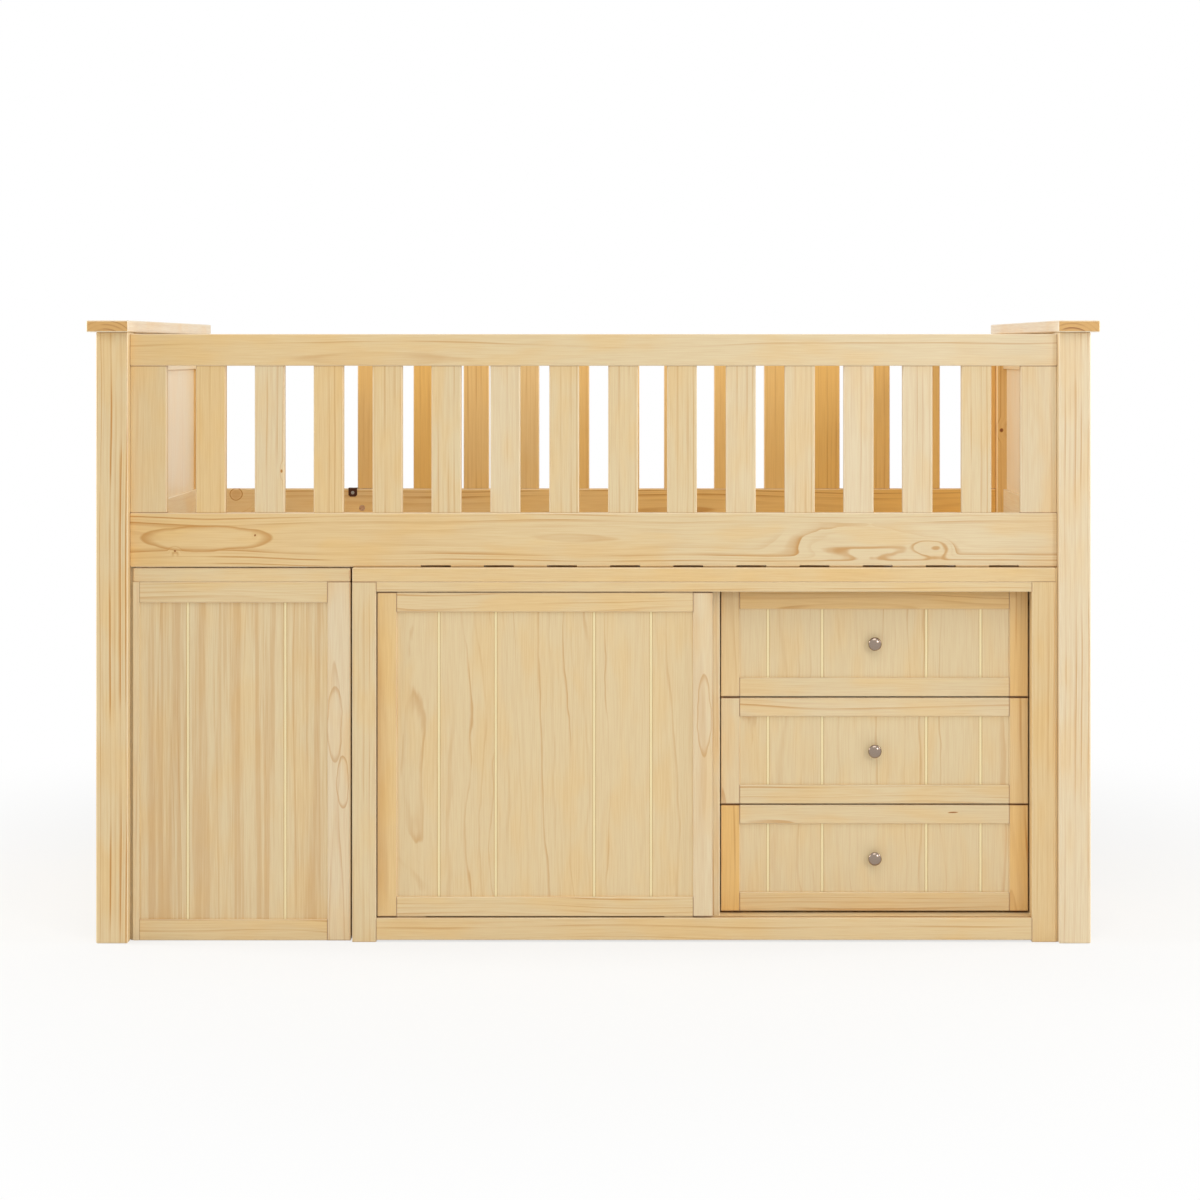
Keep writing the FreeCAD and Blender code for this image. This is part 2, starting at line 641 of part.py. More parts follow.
def make_carcass(tie_cuts):
    """Top, sides, base, back, divider and drawer guide of the cabinet."""
    pin_holes = make_shelf()
    top_across = (cabinet_left, cabinet_right)
    top = board(top_across, (cabinet_front, cabinet_back), (cabinet_lid, cabinet_top), ends=True)
    save("cabinet_top", [carve(top, tie_cuts)])
    deep = (carcass_front, cabinet_back)
    left_side = block((cabinet_left, bay_left), deep, (0, cabinet_lid))
    right_side = block((bay_right, cabinet_right), deep, (0, cabinet_lid))
    save("cabinet_left_side", [carve(left_side, pin_holes)])
    save("cabinet_right_side", [right_side])
    bay = (bay_left, bay_right)
    base_bottom = opening_bottom - CARCASS_THICKNESS
    save("cabinet_base", [block(bay, (carcass_front, carcass_back), (base_bottom, opening_bottom))])
    save("cabinet_back", [block(bay, (carcass_back, cabinet_back), (base_bottom, cabinet_lid))])
    high = (opening_bottom, cabinet_lid)
    divider = board((divider_left, divider_right), (divider_front, carcass_back), high, FINE_EASE)
    save("cabinet_divider", [carve(divider, pin_holes)])
    guide = (drawer_guide, drawer_guide + CARCASS_THICKNESS)
    save("drawer_guide_panel", [block(guide, (carcass_front, carcass_back), high)])


def grooved_panel(across, face, high, shares):
    """A panel whose sight size is given, with tongues round it and decorative grooves down its face."""
    deep = (face + PANEL_RECESS, face + PANEL_RECESS + PANEL_THICKNESS)
    tongue_across = (across[0] - PANEL_TONGUE, across[1] + PANEL_TONGUE)
    tongue_high = (high[0] - PANEL_TONGUE, high[1] + PANEL_TONGUE)
    blank = block(tongue_across, deep, tongue_high)
    grooves = []
    for middle in shares_of(across[0], across[1], shares):
        groove_deep = (deep[0] - CUT_OVERRUN, deep[0] + BEAD_DEPTH)
        grooves.append(block(around(middle, BEAD_WIDTH), groove_deep, tongue_high))
    return blank, carve(blank, grooves)


def framed_front(across, face, thickness, high, member, shares):
    """Stiles, rails and grooved panel of one frame-and-panel front."""
    deep = (face, face + thickness)
    sight_across = (across[0] + member, across[1] - member)
    sight_high = (high[0] + member, high[1] - member)
    blank, panel = grooved_panel(sight_across, face, sight_high, shares)
    stiles = [
        board((across[0], sight_across[0]), deep, high, FINE_EASE),
        board((sight_across[1], across[1]), deep, high, FINE_EASE),
    ]
    rails = [
        board(sight_across, deep, (high[0], sight_high[0]), FINE_EASE),
        board(sight_across, deep, (sight_high[1], high[1]), FINE_EASE),
    ]
    stiles = [carve(stile, [blank]) for stile in stiles]
    rails = [carve(rail, [blank]) for rail in rails]
    return stiles, rails, panel


def make_door():
    """The sliding door with the glides that run in the face frame's grooves."""
    across = (door_left, door_right)
    high = (door_bottom, door_top)
    front = framed_front(across, door_face, DOOR_THICKNESS, high, DOOR_MEMBER_WIDTH, DOOR_GROOVE_SHARES)
    stiles, rails, panel = front
    save("door_stiles", stiles)
    save("door_rails", rails)
    save("door_panel", [panel])
    deep = (track_front + GLIDE_SIDE_PLAY, track_back - GLIDE_SIDE_PLAY)
    foot_high = (opening_bottom - TRACK_DEPTH + RUN_CLEARANCE, door_bottom)
    head_high = (door_top, opening_top + TRACK_DEPTH - GLIDE_SIDE_PLAY)
    glides = []
    for start in (door_left + GLIDE_INSET, door_right - GLIDE_INSET - GLIDE_LENGTH):
        for glide_high in (foot_high, head_high):
            glides.append(block((start, start + GLIDE_LENGTH), deep, glide_high))
    save("door_glides", glides)


def make_knob(across, face, height):
    """A turned knob and its screw on a panel's face, with the hole that the screw needs."""
    seat = Vector(across, face, height)
    outward = -Y_AXIS
    rim_end = KNOB_LENGTH - KNOB_CROWN_LENGTH
    rim_start = rim_end - KNOB_RIM_LENGTH
    shoulder = KNOB_RADIUS * KNOB_SHOULDER_SHARE
    points = [
        (0, 0),
        (KNOB_FOOT_RADIUS, 0),
        (KNOB_FOOT_RADIUS, KNOB_FOOT_LENGTH),
        (KNOB_NECK_RADIUS, KNOB_FOOT_LENGTH),
        (KNOB_NECK_RADIUS, KNOB_NECK_LENGTH),
        (shoulder, rim_start - KNOB_SHOULDER_LENGTH),
        (KNOB_RADIUS, rim_start),
        (KNOB_RADIUS, rim_end),
        (shoulder, rim_end + KNOB_SHOULDER_LENGTH),
        (KNOB_RADIUS * KNOB_FACE_SHARE, KNOB_LENGTH),
        (0, KNOB_LENGTH),
    ]
    back = Vector(across, face + PANEL_THICKNESS, height)
    screw_length = PANEL_THICKNESS + KNOB_SCREW_DEPTH
    hole = rod(SCREW_RADIUS + HOLE_CLEARANCE, back, outward, screw_length + HOLE_CLEARANCE)
    knob = carve(turned(points, seat, outward), [hole])
    shank = rod(SCREW_RADIUS, back, outward, screw_length)
    head = rod(SCREW_HEAD_RADIUS, back, outward, -SCREW_HEAD_HEIGHT)
    return [knob, shank.fuse(head).Solids[0]], hole


def make_drawer(name, number):
    """One drawer: framed front, open box behind it, and knob. Drawers count up from the lowest."""
    bottom = opening_bottom + DRAWER_FOOT_GAP + number * drawer_pitch
    across = (drawer_left, drawer_right)
    high = (bottom, bottom + drawer_height)
    front = framed_front(
        across, drawer_face, DRAWER_FRONT_THICKNESS, high, DRAWER_MEMBER_WIDTH, DRAWER_GROOVE_SHARES
    )
    stiles, rails, panel = front
    middle = (drawer_left + drawer_right) / 2
    knob, screw_hole = make_knob(middle, drawer_face + PANEL_RECESS, bottom + drawer_height / 2)
    save(f"{name}_drawer_frame", stiles + rails)
    save(f"{name}_drawer_panel", [carve(panel, [screw_hole])])
    save(f"{name}_drawer_knob", knob)

    floor = bearer_top(number) + RUN_CLEARANCE
    box_left = drawer_left + BOX_INSET
    box_right = drawer_right - BOX_INSET
    inside_left = box_left + BOX_SIDE_THICKNESS
    inside_right = box_right - BOX_SIDE_THICKNESS
    box_deep = (drawer_front_back, box_back)
    box_high = (floor, floor + BOX_HEIGHT)
    panel_high = (floor + BOX_BOTTOM_LIFT, floor + BOX_BOTTOM_LIFT + BOX_BOTTOM_THICKNESS)
    base = block((inside_left - BOX_BOTTOM_TONGUE, inside_right + BOX_BOTTOM_TONGUE), box_deep, panel_high)
    sides = [
        board((box_left, inside_left), box_deep, box_high, FINE_EASE),
        board((inside_right, box_right), box_deep, box_high, FINE_EASE),
    ]
    back_deep = (box_back - BOX_SIDE_THICKNESS, box_back)
    back = board((inside_left, inside_right), back_deep, (panel_high[1], box_high[1]), FINE_EASE)
    save(f"{name}_drawer_box", [carve(side, [base]) for side in sides] + [back, base])


def bearer_top(number):
    """The height of the bearers that one drawer runs on."""
    return opening_bottom + number * drawer_pitch + BEARER_HEIGHT


def make_bearers():
    """The bearers under the drawers' sides, fixed to the divider and to the drawer guide."""
    deep = (drawer_front_back + BEARER_FRONT_GAP, box_back)
    bearers = []
    for number in range(DRAWER_COUNT):
        high = (bearer_top(number) - BEARER_HEIGHT, bearer_top(number))
        bearers.append(block((divider_right, divider_right + BEARER_WIDTH), deep, high))
        bearers.append(block((drawer_guide - BEARER_WIDTH, drawer_guide), deep, high))
    save("drawer_bearers", bearers)


def make_desk():
    """The pull-out desk: top, framed front, long side panel, two legs, aprons and floor glides."""
    top = board((desk_left, desk_right), (desk_front, desk_back), (desk_lid, desk_surface), ends=True)
    save("desk_top", [top])
    front_deep = (desk_front, desk_front_back)
    high = (DESK_FLOOR_GAP, desk_lid)
    sight_across = (desk_side_right, desk_stile_left)
    sight_high = (DESK_FLOOR_GAP + DESK_RAIL_HEIGHT, desk_lid - DESK_RAIL_HEIGHT)
    blank, panel = grooved_panel(sight_across, desk_front, sight_high, DESK_GROOVE_SHARES)
    stile = board((desk_stile_left, desk_right), front_deep, high, FINE_EASE)
    rails = [
        board(sight_across, front_deep, (high[0], sight_high[0]), FINE_EASE),
        board(sight_across, front_deep, (sight_high[1], high[1]), FINE_EASE),
    ]
    save("desk_front_frame", [carve(piece, [blank]) for piece in [stile] + rails])
    save("desk_front_panel", [panel])
    side = board((desk_left, desk_side_right), (desk_front, desk_back), high, FINE_EASE)
    save("desk_side_panel", [carve(side, [blank])])

    leg_across = (desk_stile_left, desk_right)
    front_leg_back = desk_front_back + DESK_LEG_DEPTH
    back_leg_front = desk_back - DESK_LEG_DEPTH
    apron_high = (desk_apron_bottom, desk_lid)
    apron_across = (desk_right - DESK_APRON_THICKNESS, desk_right)
    back_apron_deep = (desk_back - DESK_APRON_THICKNESS, desk_back)
    front_leg = board(leg_across, (desk_front_back, front_leg_back), high)
    back_leg = board(leg_across, (back_leg_front, desk_back), high)
    side_apron = board(apron_across, (front_leg_back, back_leg_front), apron_high)
    back_apron = board(sight_across, back_apron_deep, apron_high)
    save("desk_legs_and_aprons", [front_leg, back_leg, side_apron, back_apron])

    glide_high = (0, DESK_FLOOR_GAP)
    wide = around((desk_stile_left + desk_right) / 2, DESK_GLIDE_LENGTH)
    narrow = around((desk_left + desk_side_right) / 2, DESK_GLIDE_WIDTH)
    glides = []
    for middle in ((desk_front + front_leg_back) / 2, (back_leg_front + desk_back) / 2):
        glides.append(block(wide, around(middle, DESK_GLIDE_WIDTH), glide_high))
    for middle in (desk_front + DESK_GLIDE_LENGTH, desk_back - DESK_GLIDE_LENGTH):
        glides.append(block(narrow, around(middle, DESK_GLIDE_LENGTH), glide_high))
    save("desk_glides", glides)


def make_desk_guides():
    """Plastic strips on the cabinet and down a post that keep the desk straight as it slides."""
    high = around(desk_surface - DESK_TOP_THICKNESS / 2, GUIDE_HEIGHT)
    strip_deep = (cabinet_front + GUIDE_FRONT_GAP, cabinet_back - GUIDE_BACK_GAP)
    strip = block((desk_right + RUN_CLEARANCE, cabinet_left), strip_deep, high)
    post_strip_deep = (desk_front + POST_GUIDE_SETBACK, -post_inner_y - EDGE_EASE)
    post_strip = block((-inner_half, desk_left - RUN_CLEARANCE), post_strip_deep, (0, SIDE_RAIL_BOTTOM))
    save("desk_guides", [strip, post_strip])


def main():
    os.makedirs("parts", exist_ok=True)
    bolt_cuts, hanger_cuts = make_bed_bolts()
    bracket_screws, bracket_holes = make_bracket()
    tie_cuts = make_cabinet_ties()
    make_end_frames(bolt_cuts)
    make_side(FRONT, "front", -inner_half, FRONT_SLAT_COUNT, bolt_cuts, [], rail_notches())
    back_rail_cuts = hanger_cuts + bracket_holes
    make_side(BACK, "back", back_guard_left, BACK_SLAT_COUNT, bolt_cuts, hanger_cuts, back_rail_cuts)
    make_bed_base(bracket_screws, tie_cuts)
    make_face_frame()
    make_carcass(tie_cuts)
    make_bearers()
    make_door()
    for number, name in enumerate(("lower", "middle", "upper")):
        make_drawer(name, number)
    make_desk()
    make_desk_guides()


main()
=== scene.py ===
"""Low loft bed of lacquered pine: finishes for every board, panel and fitting, and a plain stage."""
import math
import zlib
from typing import NamedTuple

import bpy
import bmesh
from bpy.props import FloatProperty, FloatVectorProperty, PointerProperty
from bpy.types import Operator, Panel, PropertyGroup
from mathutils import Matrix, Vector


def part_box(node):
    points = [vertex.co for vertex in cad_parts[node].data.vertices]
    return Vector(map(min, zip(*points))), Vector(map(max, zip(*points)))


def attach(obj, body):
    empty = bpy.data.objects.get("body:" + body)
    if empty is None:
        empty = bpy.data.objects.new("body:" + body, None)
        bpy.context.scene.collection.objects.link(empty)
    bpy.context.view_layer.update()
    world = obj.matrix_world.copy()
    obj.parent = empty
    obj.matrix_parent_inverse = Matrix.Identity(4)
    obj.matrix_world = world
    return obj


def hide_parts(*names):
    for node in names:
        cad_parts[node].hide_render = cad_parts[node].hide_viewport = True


bl_info = {
    "name": "Low Loft Bed",
    "version": (1, 0, 0),
    "blender": (4, 5, 0),
    "location": "3D View > Sidebar > Loft Bed",
    "description": "Finishes the boards, panels and fittings of a low loft bed and sets its stage",
    "category": "Object",
}

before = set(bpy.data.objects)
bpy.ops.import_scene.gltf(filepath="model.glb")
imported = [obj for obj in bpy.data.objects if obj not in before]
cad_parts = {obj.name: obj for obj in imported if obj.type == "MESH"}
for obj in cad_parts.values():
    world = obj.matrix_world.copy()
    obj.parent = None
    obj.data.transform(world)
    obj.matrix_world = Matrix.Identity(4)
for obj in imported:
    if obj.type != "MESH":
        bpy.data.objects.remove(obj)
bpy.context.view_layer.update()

X, Y, Z = range(3)
MM = 0.001


def linear(code):
    """The linear colour of an sRGB hex code."""
    values = [int(code[start : start + 2], 16) / 255 for start in (1, 3, 5)]
    return [v / 12.92 if v <= 0.04045 else ((v + 0.055) / 1.055) ** 2.4 for v in values]


def colour(name, description, code):
    """A colour that a user can set."""
    return FloatVectorProperty(
        name=name, description=description, subtype="COLOR", size=3, min=0, max=1, default=linear(code)
    )


def length(name, description, millimetres):
    """A length that a user can set."""
    return FloatProperty(
        name=name, description=description, subtype="DISTANCE", unit="LENGTH", min=0, default=millimetres * MM
    )


def share(name, description, value):
    """A number from 0 to 1 that a user can set."""
    return FloatProperty(name=name, description=description, subtype="FACTOR", min=0, max=1, default=value)


def place(name, description, metres):
    """A place that a user can set."""
    return FloatVectorProperty(
        name=name, description=description, subtype="TRANSLATION", unit="LENGTH", default=metres
    )


def power(name, description, watts):
    """The power of a lamp that a user can set."""
    return FloatProperty(name=name, description=description, unit="POWER", min=0, default=watts)


class PineFinish(PropertyGroup):
    """Pine, planed or peeled, sanded and lacquered clear."""

    sap: colour("Sapwood", "Palest boards, cut near the bark", "#F2E3C8")
    spring: colour("Spring wood", "Pale wood that grows early in the year", "#E7D2A7")
    summer: colour("Summer wood", "Darker, denser wood that ends each ring", "#C58A3C")
    # Also the colour that boards' tones lean to where they hold painted warm light or shade.
    heart: colour("Heartwood", "Warmer boards, cut near the heart", "#EFBC60")
    end_grain: colour("End grain", "Cut ends, which drink more lacquer", "#DBAD6A")
    knot: colour("Knot", "Core of a knot", "#8A4E22")
    # Painted shade: thin dark lines where boards meet, in place of the shade in the narrow gaps between them.
    joint_shade: colour("Joint", "Lacquer gathered in the joints", "#8A5230")
    # Pale cut wood, made brighter than the panel's face as a painted highlight, since the shallow groove lies in
    # shade.
    bead: colour("Bead groove", "Freshly cut wood in the panels' grooves", "#FFF0BE")
    # Painted shade on the grooves' sides and in a thin line on the face beside each groove.
    bead_wall_shade: colour("Bead wall", "Sides of the panels' grooves", "#B98F52")
    fibre: length("Fibre width", "Width of the fine streaks along the grain", 1.3)
    stave: length("Stave width", "Width of the strips that wide boards are glued from", 84)
    bead_depth: length("Bead depth", "Depth of the panels' grooves", 1)
    drawer_member: length("Drawer member", "Width of the stiles and rails of the drawers' fronts", 39)
    box_side: length("Box side", "Thickness of the drawer boxes' sides", 12)
    desk_stile: length("Desk stile", "Width of the desk front's stile and of the legs behind it", 48)
    desk_rail: length("Desk rail", "Height of the desk front's rails", 43)
    desk_leg: length("Desk leg", "Depth of the desk's legs", 48)
    desk_apron: length("Desk apron", "Height of the desk's aprons", 60)
    roughness: share("Roughness", "Satin lacquer over sanded wood", 0.42)


class FittingFinish(PropertyGroup):
    """Metal and plastic fittings."""

    # Darker and browner than bright nickel: a painted reflection of the wood and the dim room that the knobs
    # face.
    nickel: colour("Nickel", "Plated knobs", "#A99788")
    nickel_marks: colour("Nickel tool marks", "Rings that the lathe tool leaves", "#87776A")
    zinc: colour("Zinc", "Plated bolts, nuts and screws", "#C9CCCE")
    zinc_clouds: colour("Zinc clouds", "Duller patches of the plate", "#94989B")
    chromate: colour("Chromate", "Yellow coat over the zinc of the barrel nuts", "#F0DCC4")
    chromate_clouds: colour("Chromate clouds", "Redder patches of the yellow coat", "#A8653C")
    bronze: colour("Bronze paint", "Painted angle bracket", "#3E241A")
    bronze_grain: colour("Bronze grain", "Lighter grain of the sprayed paint", "#5A382A")
    # Paler colour of the painted highlight along the bracket's edges.
    bronze_edge_highlight: colour("Worn bronze", "Paint rubbed thin along the edges", "#8A6A55")
    nylon: colour("Nylon", "Glides and guide strips", "#E2CFA6")
    nylon_flow: colour("Nylon flow", "Flow marks of the moulding", "#D2BC90")


class StageSettings(PropertyGroup):
    """Camera, floor and light."""

    camera: place("Camera", "Place of the camera", (0.0964, -5.967, 1.233))
    lens: FloatProperty(name="Lens", description="Focal length", unit="CAMERA", default=79.1)
    shift_x: FloatProperty(name="Shift X", description="Sideways shift of the frame", default=-0.0333)
    shift_y: FloatProperty(name="Shift Y", description="Upward shift of the frame", default=-0.21)
    floor: colour("Floor", "Matt white floor", "#E4E4E2")
    aim: place("Aim", "Place that every lamp looks at", (0.0, -0.2, 0.8))
    key: place("Key light", "Place of the soft light at the right front", (2.98, -4.84, 2.2))
    key_size: length("Key size", "Width of the key light", 900)
    key_power: power("Key power", "Power of the key light", 38)
    front: place("Front light", "Place of the wide light over the front", (0.3, -3.2, 4.0))
    front_size: length("Front size", "Width of the front light", 2400)
    front_power: power("Front power", "Power of the front light", 36)
    right: place("Right light", "Place of the wide light at the right", (4.6, -0.62, 2.6))
    right_size: length("Right size", "Width of the right light", 2000)
    right_power: power("Right power", "Power of the right light", 125)
    left: place("Left light", "Place of the wide light at the left", (-4.6, -0.54, 2.6))
    left_size: length("Left size", "Width of the left light", 2000)
    left_power: power("Left power", "Power of the left light", 140)
    sky: share("Sky", "Strength of the even light from all sides", 0.51)


class LoftBedSettings(PropertyGroup):
    """All settings of the bed."""

    pine: PointerProperty(type=PineFinish)
    fittings: PointerProperty(type=FittingFinish)
    stage: PointerProperty(type=StageSettings)


def settings():
    """The bed's settings in this scene."""
    return bpy.context.scene.loft_bed


def per(millimetres):
    """How many pattern steps of this size go into a metre."""
    return 1 / (millimetres * MM)


def add(tree, kind, inputs=(), **own):
    """Add a shader node with its own settings. An input takes a value, a socket or a node's first output."""
    node = tree.nodes.new("ShaderNode" + kind)
    for key, value in own.items():
        setattr(node, key, value)
    usable = [socket for socket in node.inputs if socket.enabled]
    for key, value in inputs.items() if isinstance(inputs, dict) else enumerate(inputs):
        socket = usable[key] if isinstance(key, int) else next(s for s in usable if s.name == key)
        if isinstance(value, bpy.types.Node):
            value = next(output for output in value.outputs if output.enabled)
        if isinstance(value, bpy.types.NodeSocket):
            tree.links.new(value, socket)
        else:
            socket.default_value = (*value, 1) if socket.type == "RGBA" else value
    return node


def calc(tree, operation, *inputs):
    """Add a node that reckons with numbers."""
    return add(tree, "Math", inputs, operation=operation)


def vector(tree, operation, *inputs):
    """Add a node that reckons with vectors."""
    return add(tree, "VectorMath", inputs, operation=operation)


def ease(tree, *inputs):
    """Add a node that takes a number from one range to another, softly at both ends."""
    return add(tree, "MapRange", inputs, interpolation_type="SMOOTHSTEP")


def mix(tree, factor, first, second):
    """The socket of a colour between two others."""
    return add(tree, "Mix", {"Factor": factor, "A": first, "B": second}, data_type="RGBA").outputs[2]


FIGURE_INPUTS = {
    "Board": "Vector", "Half": "Vector", "Facing": "Vector", "Number": "Float", "Warmth": "Float",
    "Varied": "Float", "Pith": "Vector", "Ring": "Float", "Sway": "Float", "Ripple": "Float",
    "Contrast": "Float", "Summer": "Float", "Mottle": "Float", "Bands": "Float", "Joint": "Float",
    "Bulge": "Float", "Core": "Float", "Scatter": "Float",
}
FIGURE_OUTPUTS = {"Color": "Color", "Roughness": "Float", "Height": "Float"}

# Lengths along the grain and widths across it of the figure's patterns, in millimetres.
SWAY_LENGTH = 700
RIPPLE_LENGTH, RIPPLE_WIDTH = 420, 110
FADE_LENGTH, FADE_WIDTH = 260, 40
FIBRE_LENGTH = 75
BAND_LENGTH, BAND_WIDTH = 1400, 24
MOTTLE_LENGTH, MOTTLE_WIDTH = 170, 60

# How far apart boards may lie along and across a log.
LOG_LENGTH = (9.0, 0, 0)
LOG_WIDTH = (0, 30 * MM, 20 * MM)

# Share of a year at which its summer wood is darkest.
SUMMER_PEAK = 0.92

# Where the painted shade line in the gaps where boards meet starts to fade, and where it ends.
JOINT_CORE, JOINT_EDGE = 0.5 * MM, 1.9 * MM

# What a noise is on average, taken off so that it pushes both ways alike.
NOISE_MIDDLE = (0.5, 0.5, 0.5)


def figure_group():
    """The group that draws a board's figure from where it lay in its log.

    Rings run round the pith. A board cut beside the pith shows flames, and one cut across the rings shows
    straight lines, on every face and end alike.
    """
    name = "Pine figure"
    if name in bpy.data.node_groups:
        return bpy.data.node_groups[name]
    tree = bpy.data.node_groups.new(name, "ShaderNodeTree")
    for side, sockets in (("INPUT", FIGURE_INPUTS), ("OUTPUT", FIGURE_OUTPUTS)):
        for socket, kind in sockets.items():
            tree.interface.new_socket(socket, in_out=side, socket_type="NodeSocket" + kind)
    given = tree.nodes.new("NodeGroupInput").outputs
    result = tree.nodes.new("NodeGroupOutput").inputs
    finish = settings().pine

    # Each board comes from its own place in a log, and boards differ in how warm they are.
    chance = add(tree, "TexWhiteNoise", {"W": given["Number"]}, noise_dimensions="1D").outputs["Color"]
    spread = vector(tree, "MULTIPLY_ADD", given["Scatter"], LOG_WIDTH, LOG_LENGTH)
    log = vector(tree, "MULTIPLY_ADD", chance, spread, given["Board"])
    log = vector(tree, "ADD", log, given["Pith"])
    luck = add(tree, "SeparateXYZ", (chance,))
    luck = calc(tree, "SUBTRACT", luck, 0.5)
    warm = calc(tree, "MULTIPLY_ADD", luck, given["Varied"], given["Warmth"])
    pale = calc(tree, "MULTIPLY", warm, -1.0)

    # The pith sways slowly along the log, and the rings ripple a little.
    along = add(tree, "SeparateXYZ", (log,))
    sway = add(tree, "TexNoise", {"W": along, "Scale": per(SWAY_LENGTH), "Detail": 1.0}, noise_dimensions="1D")
    sway = vector(tree, "SUBTRACT", sway.outputs["Color"], NOISE_MIDDLE)
    sway = add(tree, "VectorMath", {0: sway, "Scale": given["Sway"]}, operation="SCALE")
    bent = vector(tree, "ADD", log, sway)
    size = (per(RIPPLE_LENGTH), per(RIPPLE_WIDTH), per(RIPPLE_WIDTH))
    cells = vector(tree, "MULTIPLY", log, size)
    ripple = add(tree, "TexNoise", {"Vector": cells, "Scale": 1.0, "Detail": 4.0}).outputs["Color"]
    ripple = vector(tree, "SUBTRACT", ripple, NOISE_MIDDLE)
    ripple = add(tree, "VectorMath", {0: ripple, "Scale": given["Ripple"]}, operation="SCALE")
    bent = vector(tree, "ADD", bent, ripple)
    section = vector(tree, "MULTIPLY", bent, (0, 1, 1))
    radius = vector(tree, "LENGTH", section)
    radius = calc(tree, "ADD", radius, given["Bulge"])

    # Years differ in width and in how dark their summer wood is, and the lines fade in and out.
    years = calc(tree, "DIVIDE", radius, given["Ring"])
    uneven = add(tree, "TexNoise", {"W": years, "Scale": 0.37}, noise_dimensions="1D")
    years = calc(tree, "MULTIPLY_ADD", uneven, 2.4, years)
    phase = calc(tree, "FRACT", years)
    year = calc(tree, "FLOOR", years)
    rich = add(tree, "TexWhiteNoise", {"W": year}, noise_dimensions="1D")
    rich = ease(tree, rich, 0.3, 0.95, 0.06, 1.0)
    size = (per(FADE_LENGTH), per(FADE_WIDTH), per(FADE_WIDTH))
    cells = vector(tree, "MULTIPLY", log, size)
    fade = add(tree, "TexNoise", {"Vector": cells, "Scale": 1.0, "Detail": 1.0})
    fade = ease(tree, fade, 0.38, 0.62, 0.2, 1.0)
    late = ease(tree, phase, given["Summer"], SUMMER_PEAK, 0.0, 0.8)
    late = calc(tree, "POWER", late, 1.5)
    fall = ease(tree, phase, SUMMER_PEAK, 1.0, 1.0, 0.0)
    strength = add(tree, "MapRange", (warm, -0.5, 0.5, 0.7, 1.3))
    for factor in (fall, rich, fade, strength, given["Contrast"]):
        late = calc(tree, "MULTIPLY", late, factor)

    # Fibres, bands and slow changes of tone run along the grain.
    size = (per(FIBRE_LENGTH), 1 / finish.fibre, 1 / finish.fibre)
    cells = vector(tree, "MULTIPLY", log, size)
    fibre = add(tree, "TexNoise", {"Vector": cells, "Scale": 1.0, "Detail": 2.0})
    streak = ease(tree, fibre, 0.34, 0.62, 0.16, 0.0)
    cells = vector(tree, "MULTIPLY", log, (per(BAND_LENGTH), per(BAND_WIDTH), 0))
    bands = add(tree, "TexNoise", {"Vector": cells, "Scale": 1.0, "Detail": 5.0, "Roughness": 0.7})
    bands = ease(tree, bands, 0.44, 0.6, 0.0, given["Bands"])
    size = (per(MOTTLE_LENGTH), per(MOTTLE_WIDTH), per(MOTTLE_WIDTH))
    cells = vector(tree, "MULTIPLY", log, size)
    mottle = add(tree, "TexNoise", {"Vector": cells, "Scale": 1.0, "Detail": 2.0})
    mottle = ease(tree, mottle, 0.42, 0.7, 0.0, given["Mottle"])

    # Cut ends are darker. A thin line of painted shade lies where a board's face meets the next board, in place
    # of the shade in the gap, and eased edges get a paler painted highlight.
    facing = add(tree, "SeparateXYZ", (given["Facing"],)).outputs
    end = calc(tree, "GREATER_THAN", facing[0], 0.8)
    end_line = calc(tree, "MULTIPLY", end, late)
    end_line = calc(tree, "MULTIPLY", end_line, 2.0)
    inward = vector(tree, "ABSOLUTE", given["Board"])
    inward = vector(tree, "SUBTRACT", given["Half"], inward)
    inward = add(tree, "SeparateXYZ", (inward,)).outputs
    # Painted highlight: faces that slant off the board's axes, the eased edges, turn paler towards sapwood, as
    # if catching the light.
    straight = calc(tree, "MAXIMUM", facing[0], facing[1])
    straight = calc(tree, "MAXIMUM", straight, facing[2])
    rubbed = add(tree, "MapRange", (straight, 0.75, 0.95, 0.35, 0.0))
    tan = add(tree, "MapRange", (given["Core"], 0.0, 0.5, 0.0, 1.0))
    dark = add(tree, "MapRange", (given["Core"], 0.4, 1.0, 0.0, 1.0))
    joint_shade = 0.0
    for side in range(3):
        flat = calc(tree, "LESS_THAN", facing[side], 0.5)
        line = add(tree, "MapRange", (inward[side], JOINT_CORE, JOINT_EDGE, given["Joint"], 0.0))
        line = calc(tree, "MULTIPLY", line, flat)
        joint_shade = calc(tree, "MAXIMUM", joint_shade, line)

    paint = finish.spring
    for amount, tint in (
        (pale, finish.sap), (warm, finish.heart), (mottle, finish.heart), (end, finish.end_grain),
        (late, finish.summer), (end_line, finish.knot), (bands, finish.summer), (streak, finish.summer),
        (rubbed, finish.sap), (joint_shade, finish.joint_shade), (tan, finish.summer), (dark, finish.knot),
    ):
        paint = mix(tree, amount, paint, tint)
    tree.links.new(paint, result["Color"])
    gloss = add(tree, "MapRange", (late, 0.0, 0.6, finish.roughness + 0.04, finish.roughness - 0.06))
    tree.links.new(gloss.outputs[0], result["Roughness"])
    height = calc(tree, "MULTIPLY_ADD", fibre, 0.5, late)
    tree.links.new(height.outputs[0], result["Height"])
    return tree


def spans_of(faces, axis, slack=0.1 * MM):
    """The (low, high) spans along one axis that some faces cover without a gap."""
    spans = []
    for low, high in sorted((face[0][axis], face[1][axis]) for face in faces):
        if spans and low < spans[-1][1] + slack:
            spans[-1] = (spans[-1][0], max(high, spans[-1][1]))
        else:
            spans.append((low, high))
    return spans


